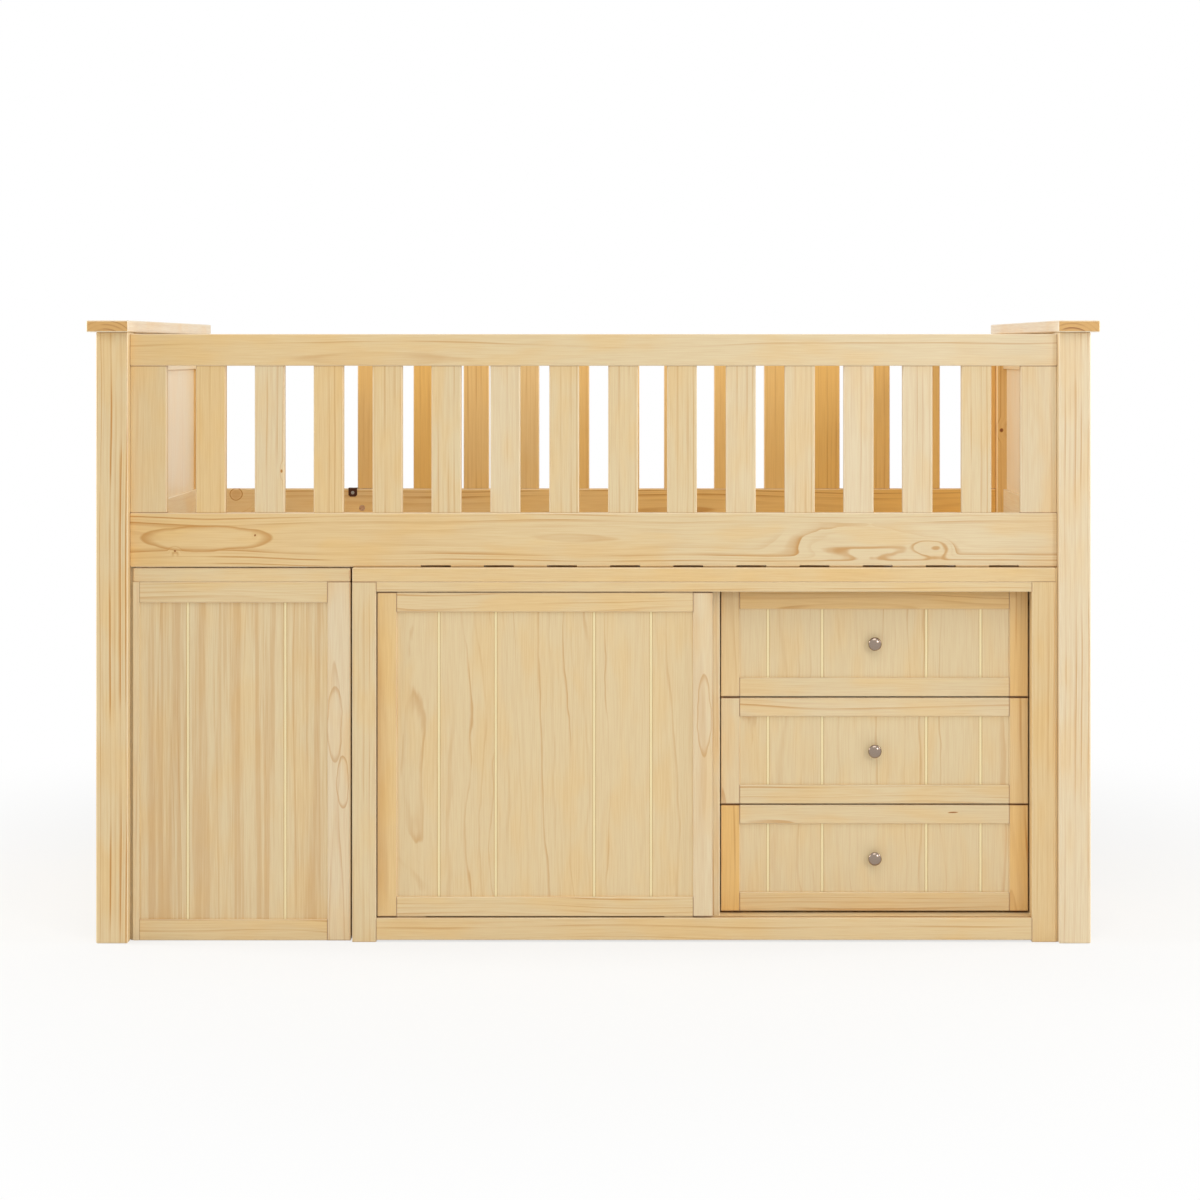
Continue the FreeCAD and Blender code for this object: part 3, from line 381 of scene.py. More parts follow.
def section(board, axis, low, high):
    """The part of a board's box between two places on an axis."""
    lows, highs = list(board[0]), list(board[1])
    lows[axis], highs[axis] = low, high
    return lows, highs


def split(board, faces):
    """The boxes of the boards in a box, parted where the faces leave a gap."""
    for axis in (X, Y, Z):
        spans = spans_of(faces, axis)
        if len(spans) > 1:
            parts = []
            for low, high in spans:
                inside = [face for face in faces if low <= face[0][axis] and face[1][axis] <= high]
                parts += split(section(board, axis, low, high), inside)
            return parts
        board = section(board, axis, *spans[0])
    return [board]


def face_boxes(node):
    """The (lowest, highest) corners of each face of a node."""
    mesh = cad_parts[node].data
    boxes = []
    for face in mesh.polygons:
        corners = [mesh.vertices[index].co for index in face.vertices]
        boxes.append([[pick(corner[axis] for corner in corners) for axis in (X, Y, Z)] for pick in (min, max)])
    return boxes


def boards_of(node):
    """The (lowest, highest) corners of each board in a node."""
    return split(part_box(node), face_boxes(node))


def axes_of(board):
    """The axes along, across and through a board, from its longest to its shortest side."""
    low, high = board
    return sorted((X, Y, Z), key=lambda axis: low[axis] - high[axis])


def staves(board, width, across):
    """A wide board as the even strips that it is glued from."""
    low, high = board[0][across], board[1][across]
    count = max(1, round((high - low) / width))
    step = (high - low) / count
    return [section(board, across, low + step * turn, low + step * (turn + 1)) for turn in range(count)]


def seed_of(node):
    """A steady number for a node, so that each piece is cut from another log."""
    return float(zlib.crc32(node.encode()) % 997)


def middle_of(board):
    """The middle of a board's box."""
    return [(low + high) / 2 for low, high in zip(*board)]


def half_of(board, axes):
    """Half the size of a board's box along some axes."""
    return [(board[1][axis] - board[0][axis]) / 2 for axis in axes]


def row_space(tree, boards, order, where):
    """Place in a board and its number, for like boards in an even row."""
    first, last = middle_of(boards[0]), middle_of(boards[-1])
    axis = max((X, Y, Z), key=lambda each: last[each] - first[each])
    step = (last[axis] - first[axis]) / (len(boards) - 1)
    offsets = [calc(tree, "SUBTRACT", where[each], first[each]) for each in (X, Y, Z)]
    turn = calc(tree, "DIVIDE", offsets[axis], step)
    turn = calc(tree, "ROUND", turn)
    offsets[axis] = calc(tree, "MULTIPLY_ADD", turn, -step, offsets[axis])
    return add(tree, "CombineXYZ", [offsets[each] for each in order]), turn


# More boards than this are told apart by their step in a row.
FEW_BOARDS = 6

# Step between the numbers of the boards in a node, and how far a box reaches past its board.
NUMBER_STEP = 7.0
BOX_SLACK = 0.05 * MM


def board_space(tree, boards, order, seed, tones):
    """Where a point lies in its board, along, across and through the grain, and the facts of that board.

    Many like boards are told apart by their step in a row, a few by the box that each fills. Two tones for a
    row or for one board run from its first end to its last, and other boards have a tone each.
    """
    point = add(tree, "TexCoord").outputs
    where = add(tree, "SeparateXYZ", (point["Object"],)).outputs
    normal = vector(tree, "ABSOLUTE", point["Normal"])
    normal = add(tree, "SeparateXYZ", (normal,)).outputs
    if len(boards) > FEW_BOARDS:
        order = order or axes_of(boards[0])
        board, turn = row_space(tree, boards, order, where)
        return {
            "Board": board, "Half": half_of(boards[0], order),
            "Facing": add(tree, "CombineXYZ", [normal[axis] for axis in order]),
            "Number": calc(tree, "ADD", turn, seed),
            "Warmth": add(tree, "MapRange", (turn, 0.0, len(boards) - 1, tones[0], tones[-1])),
        }
    facts = {}
    for turn, box in enumerate(boards):
        middle = middle_of(box)
        axes = order or axes_of(box)
        offsets = [calc(tree, "SUBTRACT", where[axis], middle[axis]) for axis in (X, Y, Z)]
        own = {
            "Board": add(tree, "CombineXYZ", [offsets[axis] for axis in axes]), "Half": half_of(box, axes),
            "Facing": add(tree, "CombineXYZ", [normal[axis] for axis in axes]),
            "Number": seed + NUMBER_STEP * turn, "Warmth": tones[turn % len(tones)],
        }
        if len(boards) == 1 and len(tones) == 2:
            reach = half_of(box, axes)[0]
            own["Warmth"] = add(tree, "MapRange", (offsets[axes[0]], -reach, reach, *tones))
        if turn == 0:
            facts = own
            continue
        inside = 1.0
        for axis, reach in zip((X, Y, Z), half_of(box, (X, Y, Z))):
            near = calc(tree, "ABSOLUTE", offsets[axis])
            near = calc(tree, "LESS_THAN", near, reach + BOX_SLACK)
            inside = calc(tree, "MULTIPLY", inside, near)
        for key, value in own.items():
            kind = "FLOAT" if key in ("Number", "Warmth") else "VECTOR"
            facts[key] = add(tree, "Mix", {"Factor": inside, "A": facts[key], "B": value}, data_type=kind)
    return facts


class Knot(NamedTuple):
    """A knot that runs from front to back through a board, in millimetres.

    Its push is how far it bends the rings round it. A knot with no push is an island instead, which shows only
    the one ring that closes round it.
    """

    x: float
    z: float
    radius: float
    stretch: tuple = (1, 1)
    push: float = 0
    dark: float = 0


# Size of the dents in a knot's outline, and how far they go in and out, in millimetres.
KNOT_DENT, KNOT_DENT_DEPTH = 70, 14


def knot_field(tree, knots):
    """How far knots push the rings aside, and where their cores show."""
    where = add(tree, "TexCoord").outputs["Object"]
    rough = add(tree, "TexNoise", {"Vector": where, "Scale": per(KNOT_DENT), "Detail": 2.0}).outputs["Color"]
    rough = vector(tree, "SUBTRACT", rough, NOISE_MIDDLE)
    depth = (KNOT_DENT_DEPTH * MM, 0, KNOT_DENT_DEPTH * MM)
    where = vector(tree, "MULTIPLY_ADD", rough, depth, where)
    bulge = core = 0.0
    for knot in knots:
        away = vector(tree, "SUBTRACT", where, (knot.x * MM, 0, knot.z * MM))
        squeeze = (1 / knot.stretch[0], 0, 1 / knot.stretch[1])
        away = vector(tree, "MULTIPLY", away, squeeze)
        away = vector(tree, "LENGTH", away)
        reach = knot.radius * MM
        if not knot.push:
            inner = ease(tree, away, reach * 0.78, reach, 0.0, knot.dark)
            outer = add(tree, "MapRange", (away, reach, reach * 1.04, 1.0, 0.0))
            shade = calc(tree, "MULTIPLY", inner, outer)
            core = calc(tree, "MAXIMUM", core, shade)
            continue
        push = ease(tree, away, reach * 2, reach * 6, knot.push * MM, 0.0)
        bulge = calc(tree, "ADD", bulge, push)
        if knot.dark:
            shade = ease(tree, away, reach * 0.5, reach * 1.2, knot.dark, 0.0)
            core = calc(tree, "MAXIMUM", core, shade)
    return bulge, core


def new_material(name):
    """An empty material and its node tree."""
    material = bpy.data.materials.new(name)
    material.use_nodes = True
    material.node_tree.nodes.clear()
    return material, material.node_tree


def give(node, material, shader):
    """Close a material and give it to a node."""
    add(material.node_tree, "OutputMaterial", {"Surface": shader})
    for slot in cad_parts[node].material_slots:
        slot.link = "OBJECT"
        slot.material = material


# Where a board's middle lay, seen from the pith of its log: along, across and through the board.
FLAT_SAWN = (0, 2 * MM, 46 * MM)
QUARTER_SAWN = (0, 92 * MM, 12 * MM)
RIFT_SAWN = (0, 58 * MM, 40 * MM)
OUTER_SAWN = (0, -4 * MM, 72 * MM)
EDGE_FLAMES = (0, 9 * MM, 2 * MM)
PEELED = (0, 240 * MM, 60 * MM)

# Axes along, across and through the boards of an upright front piece.
UPRIGHT = (Z, X, Y)

# Figure of the stiles and rails of framed fronts.
FRONT_MEMBER = {"ring": 5, "sway": 18, "contrast": 1.2, "varied": 0.0, "joint_shade": 0.6}


def wood(tree, node, boards, order, tones, knots, figure):
    """Pine under satin lacquer, whose gloss and fine relief follow the figure."""
    facts = board_space(tree, boards, order, seed_of(node), tones)
    bulge, core = knot_field(tree, knots)
    inputs = {**facts, **figure, "Bulge": bulge, "Core": core}
    drawn = add(tree, "Group", inputs, node_tree=figure_group()).outputs
    bump = add(tree, "Bump", {"Height": drawn["Height"], "Strength": 0.2, "Distance": 0.25 * MM})
    inputs = {
        "Base Color": drawn["Color"], "Roughness": drawn["Roughness"], "Normal": bump, "IOR": 1.5,
        "Coat Weight": 0.1, "Coat Roughness": 0.3,
    }
    return add(tree, "BsdfPrincipled", inputs)


def pine(node, pith, ring=7, sway=14, ripple=5, contrast=0.9, tones=(0.0,), varied=0.3, joint_shade=0.0, glued=False,
         knots=(), boards=None, order=None, scatter=1.0, summer=0.4):
    """Solid pine, planed and lacquered clear: rings, fine fibres, darker end grain, a few small knots."""
    material, tree = new_material("Lacquered pine " + node)
    boards = boards or boards_of(node)
    if glued:
        order = order or axes_of(boards[0])
        boards = staves(boards[0], settings().pine.stave, order[1])
    figure = {
        "Pith": pith, "Ring": ring * MM, "Sway": sway * MM, "Ripple": ripple * MM, "Contrast": contrast,
        "Summer": summer, "Mottle": 0.25, "Bands": 0.0, "Varied": varied, "Joint": joint_shade, "Scatter": scatter,
    }
    give(node, material, wood(tree, node, boards, order, tones, knots, figure))


def grooves_of(node):
    """The (low, high) spans along X of the bead grooves in a panel's front."""
    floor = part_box(node)[0].y + settings().pine.bead_depth
    flat = [box for box in face_boxes(node) if all(abs(corner[Y] - floor) < 0.1 * MM for corner in box)]
    return spans_of(flat, X)


def bead_grooves(tree, node, shader):
    """Pale cut wood in a panel's bead grooves, made brighter as a painted highlight against the grooves' shade,
    painted shade on their sides, and a painted shade line on the face on both sides of each.
    """
    finish = settings().pine
    point = add(tree, "TexCoord").outputs
    where = add(tree, "SeparateXYZ", (point["Object"],)).outputs
    depth = calc(tree, "SUBTRACT", where[Y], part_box(node)[0].y)
    away = 1.0
    for low, high in grooves_of(node):
        offset = calc(tree, "SUBTRACT", where[X], (low + high) / 2)
        offset = calc(tree, "ABSOLUTE", offset)
        offset = calc(tree, "SUBTRACT", offset, (high - low) / 2)
        away = calc(tree, "MINIMUM", away, offset)
    # Painted shade: a dark line on the face beside each groove.
    edge = add(tree, "MapRange", (away, 0.3 * MM, 1.8 * MM, 0.7, 0.0))
    wall = add(tree, "SeparateXYZ", (point["Normal"],)).outputs[X]
    wall = calc(tree, "ABSOLUTE", wall)
    wall = calc(tree, "GREATER_THAN", wall, 0.5)
    under = calc(tree, "GREATER_THAN", depth, 0.3 * MM)
    over = calc(tree, "LESS_THAN", depth, finish.bead_depth + 0.3 * MM)
    cut = calc(tree, "MULTIPLY", under, over)
    # Painted highlight on the groove's floor, painted shade on its sides.
    groove = mix(tree, wall, finish.bead, finish.bead_wall_shade)
    face = shader.inputs["Base Color"].links[0].from_socket
    face = mix(tree, edge, face, finish.bead_wall_shade)
    tree.links.new(mix(tree, cut, face, groove), shader.inputs["Base Color"])


def veneer(node, order=UPRIGHT, ring=22, sway=30, ripple=70, contrast=0.75, bands=0.0, mottle=0.2, tones=(0.0,),
           knots=(), beads=False):
    """Peeled pine veneer on plywood, lacquered clear: wide, wavy figure, with any bead grooves cut into it."""
    material, tree = new_material("Lacquered pine veneer " + node)
    figure = {
        "Pith": PEELED, "Ring": ring * MM, "Sway": sway * MM, "Ripple": ripple * MM, "Contrast": contrast,
        "Summer": 0.7, "Mottle": mottle, "Bands": bands, "Varied": 0.0, "Joint": 0.0, "Scatter": 1.0,
    }
    shader = wood(tree, node, boards_of(node), order, tones, knots, figure)
    if beads:
        bead_grooves(tree, node, shader)
    give(node, material, shader)


class LOFTBED_OT_posts(Operator):
    """Finish the corner posts and the caps over them"""

    bl_idname = "loftbed.posts"
    bl_label = "Posts and caps"

    def execute(self, context):
        knots = {"right_back_post": (Knot(976, 1034, 5.5, push=10, dark=1.0),)}
        # Tone of each post, and strength of its lines. The front posts' tones are also painted light: the left
        # one warmer and the right one paler, as the light falls from the right.
        looks = {
            "left_front": (0.1, 1.8), "right_front": (-0.4, 1.3),
            "left_back": (0.5, 0.8), "right_back": (0.6, 0.8),
        }
        for corner, (tone, contrast) in looks.items():
            node = corner + "_post"
            pine(node, QUARTER_SAWN, ring=8, sway=10, contrast=contrast, tones=(tone,), varied=0.0,
                 knots=knots.get(node, ()), order=UPRIGHT)
        for end in ("left", "right"):
            pine(f"{end}_cap", FLAT_SAWN, ring=9, sway=4, ripple=3, contrast=0.9, tones=(-0.8,), varied=0.0)
        return {"FINISHED"}


class LOFTBED_OT_ends(Operator):
    """Finish the rails and panels of both end frames"""

    bl_idname = "loftbed.ends"
    bl_label = "End frames"

    def execute(self, context):
        for end in ("left", "right"):
            pine(f"{end}_end_rails", FLAT_SAWN, ring=8, contrast=0.5, tones=(-0.3,), varied=0.0)
            veneer(f"{end}_end_panel", order=(Z, Y, X), contrast=0.5, mottle=0.1, tones=(-0.6,))
        return {"FINISHED"}


class LOFTBED_OT_guards(Operator):
    """Finish the side rails, top rails, slats and stiles of both long sides"""

    bl_idname = "loftbed.guards"
    bl_label = "Rails and guards"

    def execute(self, context):
        front_knots = (
            Knot(-870, 813, 2.4, push=4, dark=0.9), Knot(-705, 844, 2.4, push=4, dark=0.9),
            Knot(-805, 838, 27, (5, 1), dark=0.36), Knot(560, 830, 7, (6, 1), push=12),
            Knot(710, 817, 5, (2, 1), push=8, dark=0.35),
        )
        back_knots = (Knot(-888, 877, 14.5, push=30, dark=0.2), Knot(-888, 877, 15.5, dark=0.6))
        slat_knots = (Knot(-650, 977, 2.5, (1, 1.6), push=5, dark=0.6),)
        # Tones also hold painted light: the front's rails and slats run from warmer at the left to paler at the
        # right, as the light falls from the right, and the back's warm tones stand in for the warm light bounced
        # about inside the bed.
        self.guard("front", (0.35, -0.3), (0.15, -0.3), front_knots, slat_knots)
        self.guard("back", (0.3, 1.0), (0.65, 0.8), back_knots, ())
        return {"FINISHED"}

    def guard(self, side, rail_tones, slat_tones, rail_knots, slat_knots):
        """The rails of one long side, whose ends sit in the posts, and the slats and stiles between them."""
        rail, top = f"{side}_side_rail", f"{side}_top_rail"
        left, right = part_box("left_front_post")[1].x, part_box("right_front_post")[0].x
        low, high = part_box(rail)[1].z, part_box(top)[0].z
        shown = [section(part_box(rail), X, left, right)]
        pine(rail, OUTER_SAWN, ring=4.5, sway=14, contrast=1.2, tones=rail_tones, joint_shade=0.8, knots=rail_knots,
             boards=shown, scatter=0.0)
        shown = [section(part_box(top), X, max(left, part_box(top)[0].x), right)]
        pine(top, OUTER_SAWN, ring=4.5, sway=14, contrast=0.9, tones=rail_tones, joint_shade=0.8, boards=shown)
        shown = [section(board, Z, low, high) for board in boards_of(f"{side}_guard_slats")]
        pine(f"{side}_guard_slats", QUARTER_SAWN, ring=8, sway=8, contrast=0.7, tones=slat_tones, varied=0.5,
             joint_shade=0.4, knots=slat_knots, boards=shown)
        # The painted shade line shows only where a stile meets its post, so each box goes past the stile's free
        # edge.
        shown, past = [], 5 * MM
        for board in boards_of(f"{side}_guard_stiles"):
            near, far = board[0][X], board[1][X]
            spread = (near, far + past) if far < 0 else (near - past, far)
            shown.append(section(section(board, Z, low, high), X, *spread))
        pine(f"{side}_guard_stiles", RIFT_SAWN, ring=9, contrast=0.5, tones=slat_tones, varied=0.0, joint_shade=0.9,
             boards=shown)


class LOFTBED_OT_base(Operator):
    """Finish the ledgers and slats of the bed base"""

    bl_idname = "loftbed.base"
    bl_label = "Bed base"

    def execute(self, context):
        pine("slat_ledgers", RIFT_SAWN)
        pine("bed_slats", FLAT_SAWN, ring=8, varied=0.6)
        return {"FINISHED"}


class LOFTBED_OT_cabinet(Operator):
    """Finish the cabinet's carcass and face frame"""

    bl_idname = "loftbed.cabinet"
    bl_label = "Cabinet"

    def execute(self, context):
        pine("face_frame_stiles", QUARTER_SAWN, ring=8, sway=10, contrast=0.6, tones=(0.0, 0.25), varied=0.0,
             joint_shade=0.5)
        pine("face_frame_rails", RIFT_SAWN, ring=8, tones=(0.15,), varied=0.0, joint_shade=0.5)
        pine("drawer_bearers", RIFT_SAWN)
        pine("cabinet_top", EDGE_FLAMES, ring=9, sway=20, tones=(0.2,), glued=True, scatter=0.0)
        for part in ("left_side", "right_side", "divider", "base", "shelf"):
            pine(f"cabinet_{part}", FLAT_SAWN, ring=9, glued=True)
        pine("drawer_guide_panel", FLAT_SAWN, ring=9, glued=True)
        veneer("cabinet_back")
        return {"FINISHED"}


class LOFTBED_OT_door(Operator):
    """Finish the sliding door's frame and panel"""

    bl_idname = "loftbed.door"
    bl_label = "Sliding door"

    def execute(self, context):
        hill, loop = Knot(-395, 60, 16, (1, 1.8), push=45), Knot(229, 470, 14, (1, 6), dark=0.24)
        pine("door_stiles", FLAT_SAWN, ring=12, sway=18, summer=0.3, contrast=1.4, tones=(0.4, -0.3), varied=0.0,
             joint_shade=0.6, knots=(loop,))
        pine("door_rails", FLAT_SAWN, tones=(0.1, 0.15), **FRONT_MEMBER)
        veneer("door_panel", tones=(0.05,), knots=(hill,), beads=True)
        return {"FINISHED"}


class LOFTBED_OT_drawers(Operator):
    """Finish the drawers' fronts and boxes"""

    bl_idname = "loftbed.drawers"
    bl_label = "Drawers"

    def execute(self, context):
        # Tones of the bottom rail, top rail, left stile and right stile. The warmer top rail of the upper drawer
        # and the warmer right stiles are painted warm shade, where the head rail and the cabinet's stile shade
        # them.
        tones = {
            "upper": (0.0, 0.5, 0.2, 0.45), "middle": (0.0, -0.1, -0.1, 0.3), "lower": (0.2, 0.0, 0.7, 0.6),
        }
        pocket = Knot(750, 259, 1.6, (7, 1), push=3, dark=0.85)
        for name, member_tones in tones.items():
            frame_node, box_node = f"{name}_drawer_frame", f"{name}_drawer_box"
            knots = (pocket,) if name == "lower" else ()
            members = self.frame_boards(frame_node)
            pine(frame_node, FLAT_SAWN, tones=member_tones, knots=knots, boards=members, **FRONT_MEMBER)
            veneer(f"{name}_drawer_panel", contrast=0.6, beads=True)
            pine(box_node, FLAT_SAWN, ring=8, boards=self.box_boards(box_node))
        return {"FINISHED"}

    def frame_boards(self, node):
        """The rails and stiles of a drawer's front."""
        whole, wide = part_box(node), settings().pine.drawer_member
        (left, _, bottom), (right, _, top) = whole
        inner = section(whole, X, left + wide, right - wide)
        return [
            section(inner, Z, bottom, bottom + wide), section(inner, Z, top - wide, top),
            section(whole, X, left, left + wide), section(whole, X, right - wide, right),
        ]

    def box_boards(self, node):
        """A drawer box as its back and bottom, and its two sides."""
        whole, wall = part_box(node), settings().pine.box_side
        left, right = whole[0].x, whole[1].x
        return [whole, section(whole, X, left, left + wall), section(whole, X, right - wall, right)]


class LOFTBED_OT_desk(Operator):
    """Finish the pull-out desk's boards and panel"""

    bl_idname = "loftbed.desk"
    bl_label = "Pull-out desk"

    def execute(self, context):
        pine("desk_top", EDGE_FLAMES, ring=9, sway=20, glued=True, order=(X, Y, Z), scatter=0.0)
        pine("desk_side_panel", FLAT_SAWN, ring=9, glued=True, order=(Z, Y, X))
        loops = (Knot(-538, 450, 16, (1, 5), dark=0.22), Knot(-522, 330, 13, (1, 4), dark=0.26))
        pine("desk_front_frame", FLAT_SAWN, tones=(0.2, 0.1, -0.4), knots=loops, boards=self.front_boards(),
             **FRONT_MEMBER)
        pine("desk_legs_and_aprons", RIFT_SAWN, ring=8, boards=self.leg_boards())
        veneer("desk_front_panel", ring=9, sway=20, ripple=12, contrast=0.6, bands=0.36, beads=True)
        return {"FINISHED"}

    def front_boards(self):
        """The two rails and the stile of the desk's front."""
        whole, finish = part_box("desk_front_frame"), settings().pine
        (left, _, bottom), (right, _, top) = whole
        rails = section(whole, X, left, right - finish.desk_stile)
        return [
            section(rails, Z, bottom, bottom + finish.desk_rail),
            section(rails, Z, top - finish.desk_rail, top),
            section(whole, X, right - finish.desk_stile, right),
        ]

    def leg_boards(self):
        """The side apron, the back apron and the two legs of the desk."""
        whole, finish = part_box("desk_legs_and_aprons"), settings().pine
        (left, front, _), (right, back, top) = whole
        side = section(whole, X, right - finish.desk_stile, right)
        back_leg = section(side, Y, back - finish.desk_leg, back)
        apron = section(back_leg, Z, top - finish.desk_apron, top)
        return [
            section(side, Y, front + finish.desk_leg, back - finish.desk_leg),
            section(apron, X, left, right - finish.desk_stile),
            section(side, Y, front, front + finish.desk_leg),
            back_leg,
        ]


# Radius and distance from the drawer's panel of a knob, as shares of its whole radius and length.
KNOB_PROFILE = (
    (0.0, 0.0), (0.54, 0.0), (0.54, 0.07), (0.5, 0.11), (0.4, 0.12), (0.35, 0.2),
    (0.33, 0.32), (0.35, 0.43), (0.46, 0.53), (0.73, 0.61), (0.93, 0.66), (1.0, 0.7),
    (1.01, 0.745), (0.985, 0.79), (0.88, 0.86), (0.68, 0.93), (0.4, 0.98), (0.0, 1.0),
)

# Steps round a knob.
KNOB_STEPS = 40


class LOFTBED_OT_fittings(Operator):
    """Finish the knobs, bolts, screws, bracket, glides and guide strips"""

    bl_idname = "loftbed.fittings"
    bl_label = "Fittings"

    def execute(self, context):
        finish = settings().fittings
        for name in ("upper", "middle", "lower"):
            self.knob(name, finish)
        for node in ("bed_bolts", "wood_screws", "shelf_pins", "cabinet_ties"):
            self.zinc(node, "Zinc plated steel", finish.zinc, finish.zinc_clouds)
        self.zinc("barrel_nuts", "Yellow chromated zinc", finish.chromate, finish.chromate_clouds)
        self.bronze("guard_bracket", finish)
        for node in ("door_glides", "desk_glides", "desk_guides"):
            self.nylon(node, finish)
        return {"FINISHED"}

    def knob(self, name, finish):
        """A turned knob with a rosette, a waisted neck and a low dome."""
        node = f"{name}_drawer_knob"
        low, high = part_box(node)
        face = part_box(f"{name}_drawer_panel")[0].y
        centre = ((low.x + high.x) / 2, face, (low.z + high.z) / 2)
        reach, out = (high.x - low.x) / 2, face - low.y
        shape = bmesh.new()
        for radius, height in KNOB_PROFILE:
            shape.verts.new((centre[X] + radius * reach, face - height * out, centre[Z]))
        shape.verts.ensure_lookup_table()
        for turn in range(len(KNOB_PROFILE) - 1):
            shape.edges.new(shape.verts[turn : turn + 2])
        bmesh.ops.spin(shape, geom=shape.verts[:] + shape.edges[:], cent=centre, axis=(0, 1, 0), angle=math.tau,
                       steps=KNOB_STEPS, use_merge=True)
        bmesh.ops.remove_doubles(shape, verts=shape.verts[:], dist=0.01 * MM)
        bmesh.ops.recalc_face_normals(shape, faces=shape.faces[:])
        mesh = bpy.data.meshes.new(node + "_turned")
        shape.to_mesh(mesh)
        shape.free()
        mesh.shade_smooth()
        piece = bpy.data.objects.new(node + "_turned", mesh)
        bpy.context.scene.collection.objects.link(piece)
        smooth = piece.modifiers.new("smooth", "SUBSURF")
        smooth.levels = smooth.render_levels = 1
        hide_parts(node)
        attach(piece, f"{name}_drawer")
        mesh.materials.append(self.nickel(node, finish))

    def nickel(self, node, finish):
        """Brass, turned and nickel plated: a bright shine, with rings left by the lathe tool.

        Real tool marks are about 0.1 mm apart. They are drawn 0.9 mm apart, so that they show.
        """
        material, tree = new_material("Turned nickel plate " + node)
        where = add(tree, "TexCoord").outputs["Object"]
        away = vector(tree, "SUBTRACT", where, middle_of(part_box(node)))
        away = vector(tree, "MULTIPLY", away, (1, 0, 1))
        away = vector(tree, "LENGTH", away)
        marks = add(tree, "TexNoise", {"W": away, "Scale": per(0.9), "Detail": 1.0}, noise_dimensions="1D")
        # The plate's colour holds a painted reflection of the wood and dim room round the knob.
        paint = mix(tree, marks, finish.nickel, finish.nickel_marks)
        gloss = add(tree, "MapRange", (marks, 0.3, 0.7, 0.12, 0.2))
        bump = add(tree, "Bump", {"Height": marks, "Strength": 0.1, "Distance": 0.05 * MM})
        inputs = {"Base Color": paint, "Metallic": 1.0, "Roughness": gloss, "Normal": bump}
        shader = add(tree, "BsdfPrincipled", inputs)
        add(tree, "OutputMaterial", {"Surface": shader})
        return material

    def patches(self, tree, size, detail):
        """A pattern of soft patches so many millimetres wide."""
        where = add(tree, "TexCoord").outputs["Object"]
        return add(tree, "TexNoise", {"Vector": where, "Scale": per(size), "Detail": detail})

    def edge_highlight(self, tree, width):
        """How strongly a painted highlight lies along a sharp edge, from 0 to 1 within so many millimetres of
        it.
        """
        eased = add(tree, "Bevel", {"Radius": width * MM})
        plain = add(tree, "NewGeometry").outputs["Normal"]
        turned = vector(tree, "DOT_PRODUCT", eased, plain)
        return add(tree, "MapRange", (turned, 0.99, 0.85, 0.0, 1.0))

    def zinc(self, node, name, plate, dull):
        """Steel with a bright or yellow zinc plate: cloudy patches a few millimetres wide, and a painted
        highlight along the edges.
        """
        material, tree = new_material(name + " " + node)
        clouds = self.patches(tree, 4, 3.0)
        paint = mix(tree, clouds, plate, dull)
        paint = mix(tree, self.edge_highlight(tree, 0.4), paint, plate)
        gloss = add(tree, "MapRange", (clouds, 0.3, 0.7, 0.25, 0.42))
        bump = add(tree, "Bump", {"Height": clouds, "Strength": 0.1, "Distance": 0.05 * MM})
        inputs = {"Base Color": paint, "Metallic": 1.0, "Roughness": gloss, "Normal": bump}
        give(node, material, add(tree, "BsdfPrincipled", inputs))

    def bronze(self, node, finish):
        """Pressed steel under dark bronze paint: almost black brown, fine sprayed grain, and a paler painted
        highlight along the edges.
        """
        material, tree = new_material("Bronze painted steel " + node)
        grain = self.patches(tree, 1.2, 2.0)
        paint = mix(tree, grain, finish.bronze, finish.bronze_grain)
        paint = mix(tree, self.edge_highlight(tree, 0.6), paint, finish.bronze_edge_highlight)
        gloss = add(tree, "MapRange", (grain, 0.3, 0.7, 0.35, 0.45))
        bump = add(tree, "Bump", {"Height": grain, "Strength": 0.2, "Distance": 0.1 * MM})
        inputs = {"Base Color": paint, "Roughness": gloss, "Specular IOR Level": 0.15, "Normal": bump}
        give(node, material, add(tree, "BsdfPrincipled", inputs))

    def nylon(self, node, finish):
        """Nylon, moulded in the colour of the wood: slight flow marks and a waxy sheen."""
        material, tree = new_material("Moulded nylon " + node)
        flow = self.patches(tree, 12, 2.0)
        paint = mix(tree, flow, finish.nylon, finish.nylon_flow)
        gloss = add(tree, "MapRange", (flow, 0.3, 0.7, 0.36, 0.46))
        bump = add(tree, "Bump", {"Height": flow, "Strength": 0.1, "Distance": 0.1 * MM})
        inputs = {"Base Color": paint, "Roughness": gloss, "IOR": 1.53, "Normal": bump}
        give(node, material, add(tree, "BsdfPrincipled", inputs))


# Half the floor's width, and how far from the bed's middle its white starts to grow and is full, in metres.
FLOOR_REACH = 60
WHITE_STARTS, WHITE_FULL = 1.2, 2.6

# How white the floor is beside the bed, where it keeps the shadow.
NEAR_WHITE = 0.7

# Width of the camera's sensor in millimetres.
SENSOR_WIDTH = 36


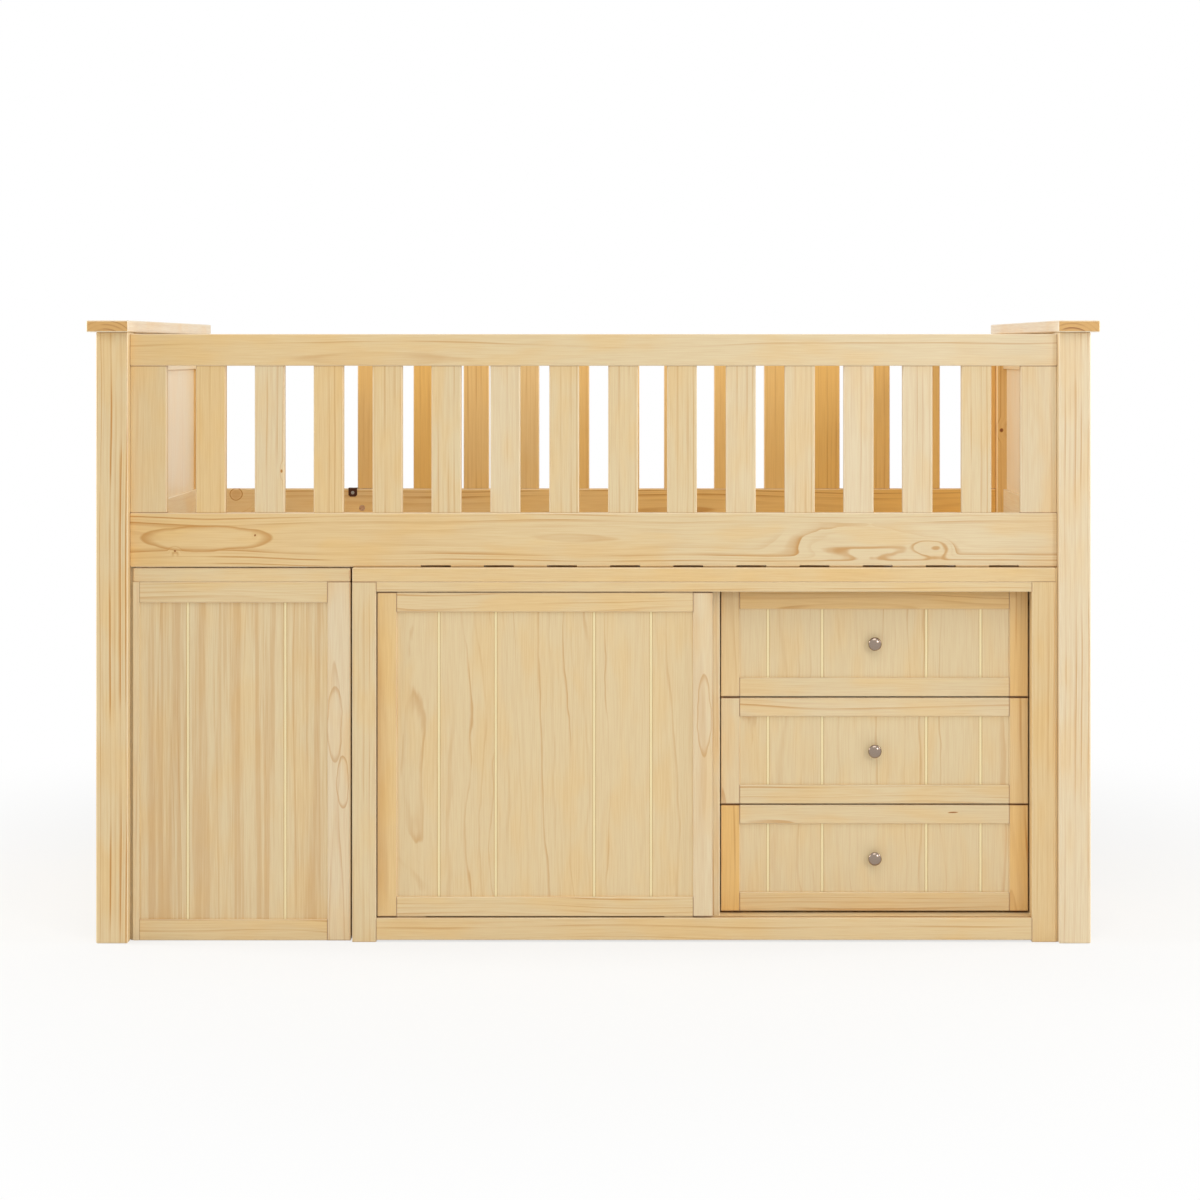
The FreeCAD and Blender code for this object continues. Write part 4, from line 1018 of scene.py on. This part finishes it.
class LOFTBED_OT_stage(Operator):
    """Set the floor, the light and the camera"""

    bl_idname = "loftbed.stage"
    bl_label = "Stage"

    def execute(self, context):
        chosen = settings().stage
        self.floor(chosen)
        self.sky(chosen)
        for name in ("key", "front", "right", "left"):
            self.lamp(chosen, name)
        self.camera(chosen)
        context.scene.view_settings.view_transform = "Standard"
        return {"FINISHED"}

    def seen(self, tree):
        """1 for rays that look at the background, straight, in metal or through glass."""
        path = add(tree, "LightPath").outputs
        looks = calc(tree, "MAXIMUM", path["Is Camera Ray"], path["Is Glossy Ray"])
        return calc(tree, "MAXIMUM", looks, path["Is Transmission Ray"])

    def floor(self, chosen):
        """A wide matt floor that turns plain white away from the bed and keeps the bed's shadow."""
        mesh = bpy.data.meshes.new("floor")
        shape = bmesh.new()
        bmesh.ops.create_grid(shape, x_segments=1, y_segments=1, size=FLOOR_REACH)
        shape.to_mesh(mesh)
        shape.free()
        floor = bpy.data.objects.new("floor", mesh)
        bpy.context.scene.collection.objects.link(floor)
        material, tree = new_material("Matt white floor paint")
        where = add(tree, "TexCoord").outputs["Object"]
        far = vector(tree, "LENGTH", where)
        white = ease(tree, far, WHITE_STARTS, WHITE_FULL, NEAR_WHITE, 1.0)
        white = calc(tree, "MULTIPLY", white, self.seen(tree))
        paint = add(tree, "BsdfDiffuse", {"Color": chosen.floor})
        plain = add(tree, "Emission", {"Color": (1, 1, 1), "Strength": 1.0})
        surface = add(tree, "MixShader", (white, paint, plain))
        add(tree, "OutputMaterial", {"Surface": surface})
        mesh.materials.append(material)

    def sky(self, chosen):
        """Even white light from all sides, and plain white where the background shows."""
        world = bpy.data.worlds.new("studio")
        bpy.context.scene.world = world
        world.use_nodes = True
        tree = world.node_tree
        tree.nodes.clear()
        even = add(tree, "Background", {"Color": (1, 1, 1), "Strength": chosen.sky})
        plain = add(tree, "Background", {"Color": (1, 1, 1), "Strength": 1.0})
        surface = add(tree, "MixShader", (self.seen(tree), even, plain))
        add(tree, "OutputWorld", {"Surface": surface})

    def lamp(self, chosen, name):
        """One square soft light that looks at the bed."""
        data = bpy.data.lights.new(name, "AREA")
        data.energy = getattr(chosen, name + "_power")
        data.size = getattr(chosen, name + "_size")
        lamp = bpy.data.objects.new(name, data)
        lamp.location = getattr(chosen, name)
        lamp.rotation_mode = "QUATERNION"
        lamp.rotation_quaternion = (lamp.location - chosen.aim).to_track_quat("Z", "Y")
        bpy.context.scene.collection.objects.link(lamp)

    def camera(self, chosen):
        """A level camera in front of the bed, with the frame shifted as a view camera does."""
        data = bpy.data.cameras.new("camera")
        data.lens = chosen.lens
        data.sensor_width = SENSOR_WIDTH
        data.shift_x = chosen.shift_x
        data.shift_y = chosen.shift_y
        camera = bpy.data.objects.new("camera", data)
        camera.location = chosen.camera
        camera.rotation_euler = (math.pi / 2, 0, 0)
        bpy.context.scene.collection.objects.link(camera)
        bpy.context.scene.camera = camera


operators = (
    LOFTBED_OT_posts,
    LOFTBED_OT_ends,
    LOFTBED_OT_guards,
    LOFTBED_OT_base,
    LOFTBED_OT_cabinet,
    LOFTBED_OT_door,
    LOFTBED_OT_drawers,
    LOFTBED_OT_desk,
    LOFTBED_OT_fittings,
    LOFTBED_OT_stage,
)


class LOFTBED_PT_panel(Panel):
    """Everything that finishes the bed"""

    bl_label = "Loft Bed"
    bl_space_type = "VIEW_3D"
    bl_region_type = "UI"
    bl_category = "Loft Bed"

    def draw(self, context):
        for operator in operators:
            self.layout.operator(operator.bl_idname)


classes = (PineFinish, FittingFinish, StageSettings, LoftBedSettings, *operators, LOFTBED_PT_panel)


def register():
    for each in classes:
        bpy.utils.register_class(each)
    bpy.types.Scene.loft_bed = PointerProperty(type=LoftBedSettings)


def unregister():
    del bpy.types.Scene.loft_bed
    for each in reversed(classes):
        bpy.utils.unregister_class(each)


def main():
    register()
    bpy.ops.loftbed.posts()
    bpy.ops.loftbed.ends()
    bpy.ops.loftbed.guards()
    bpy.ops.loftbed.base()
    bpy.ops.loftbed.cabinet()
    bpy.ops.loftbed.door()
    bpy.ops.loftbed.drawers()
    bpy.ops.loftbed.desk()
    bpy.ops.loftbed.fittings()
    bpy.ops.loftbed.stage()


if __name__ == "__main__":
    main()
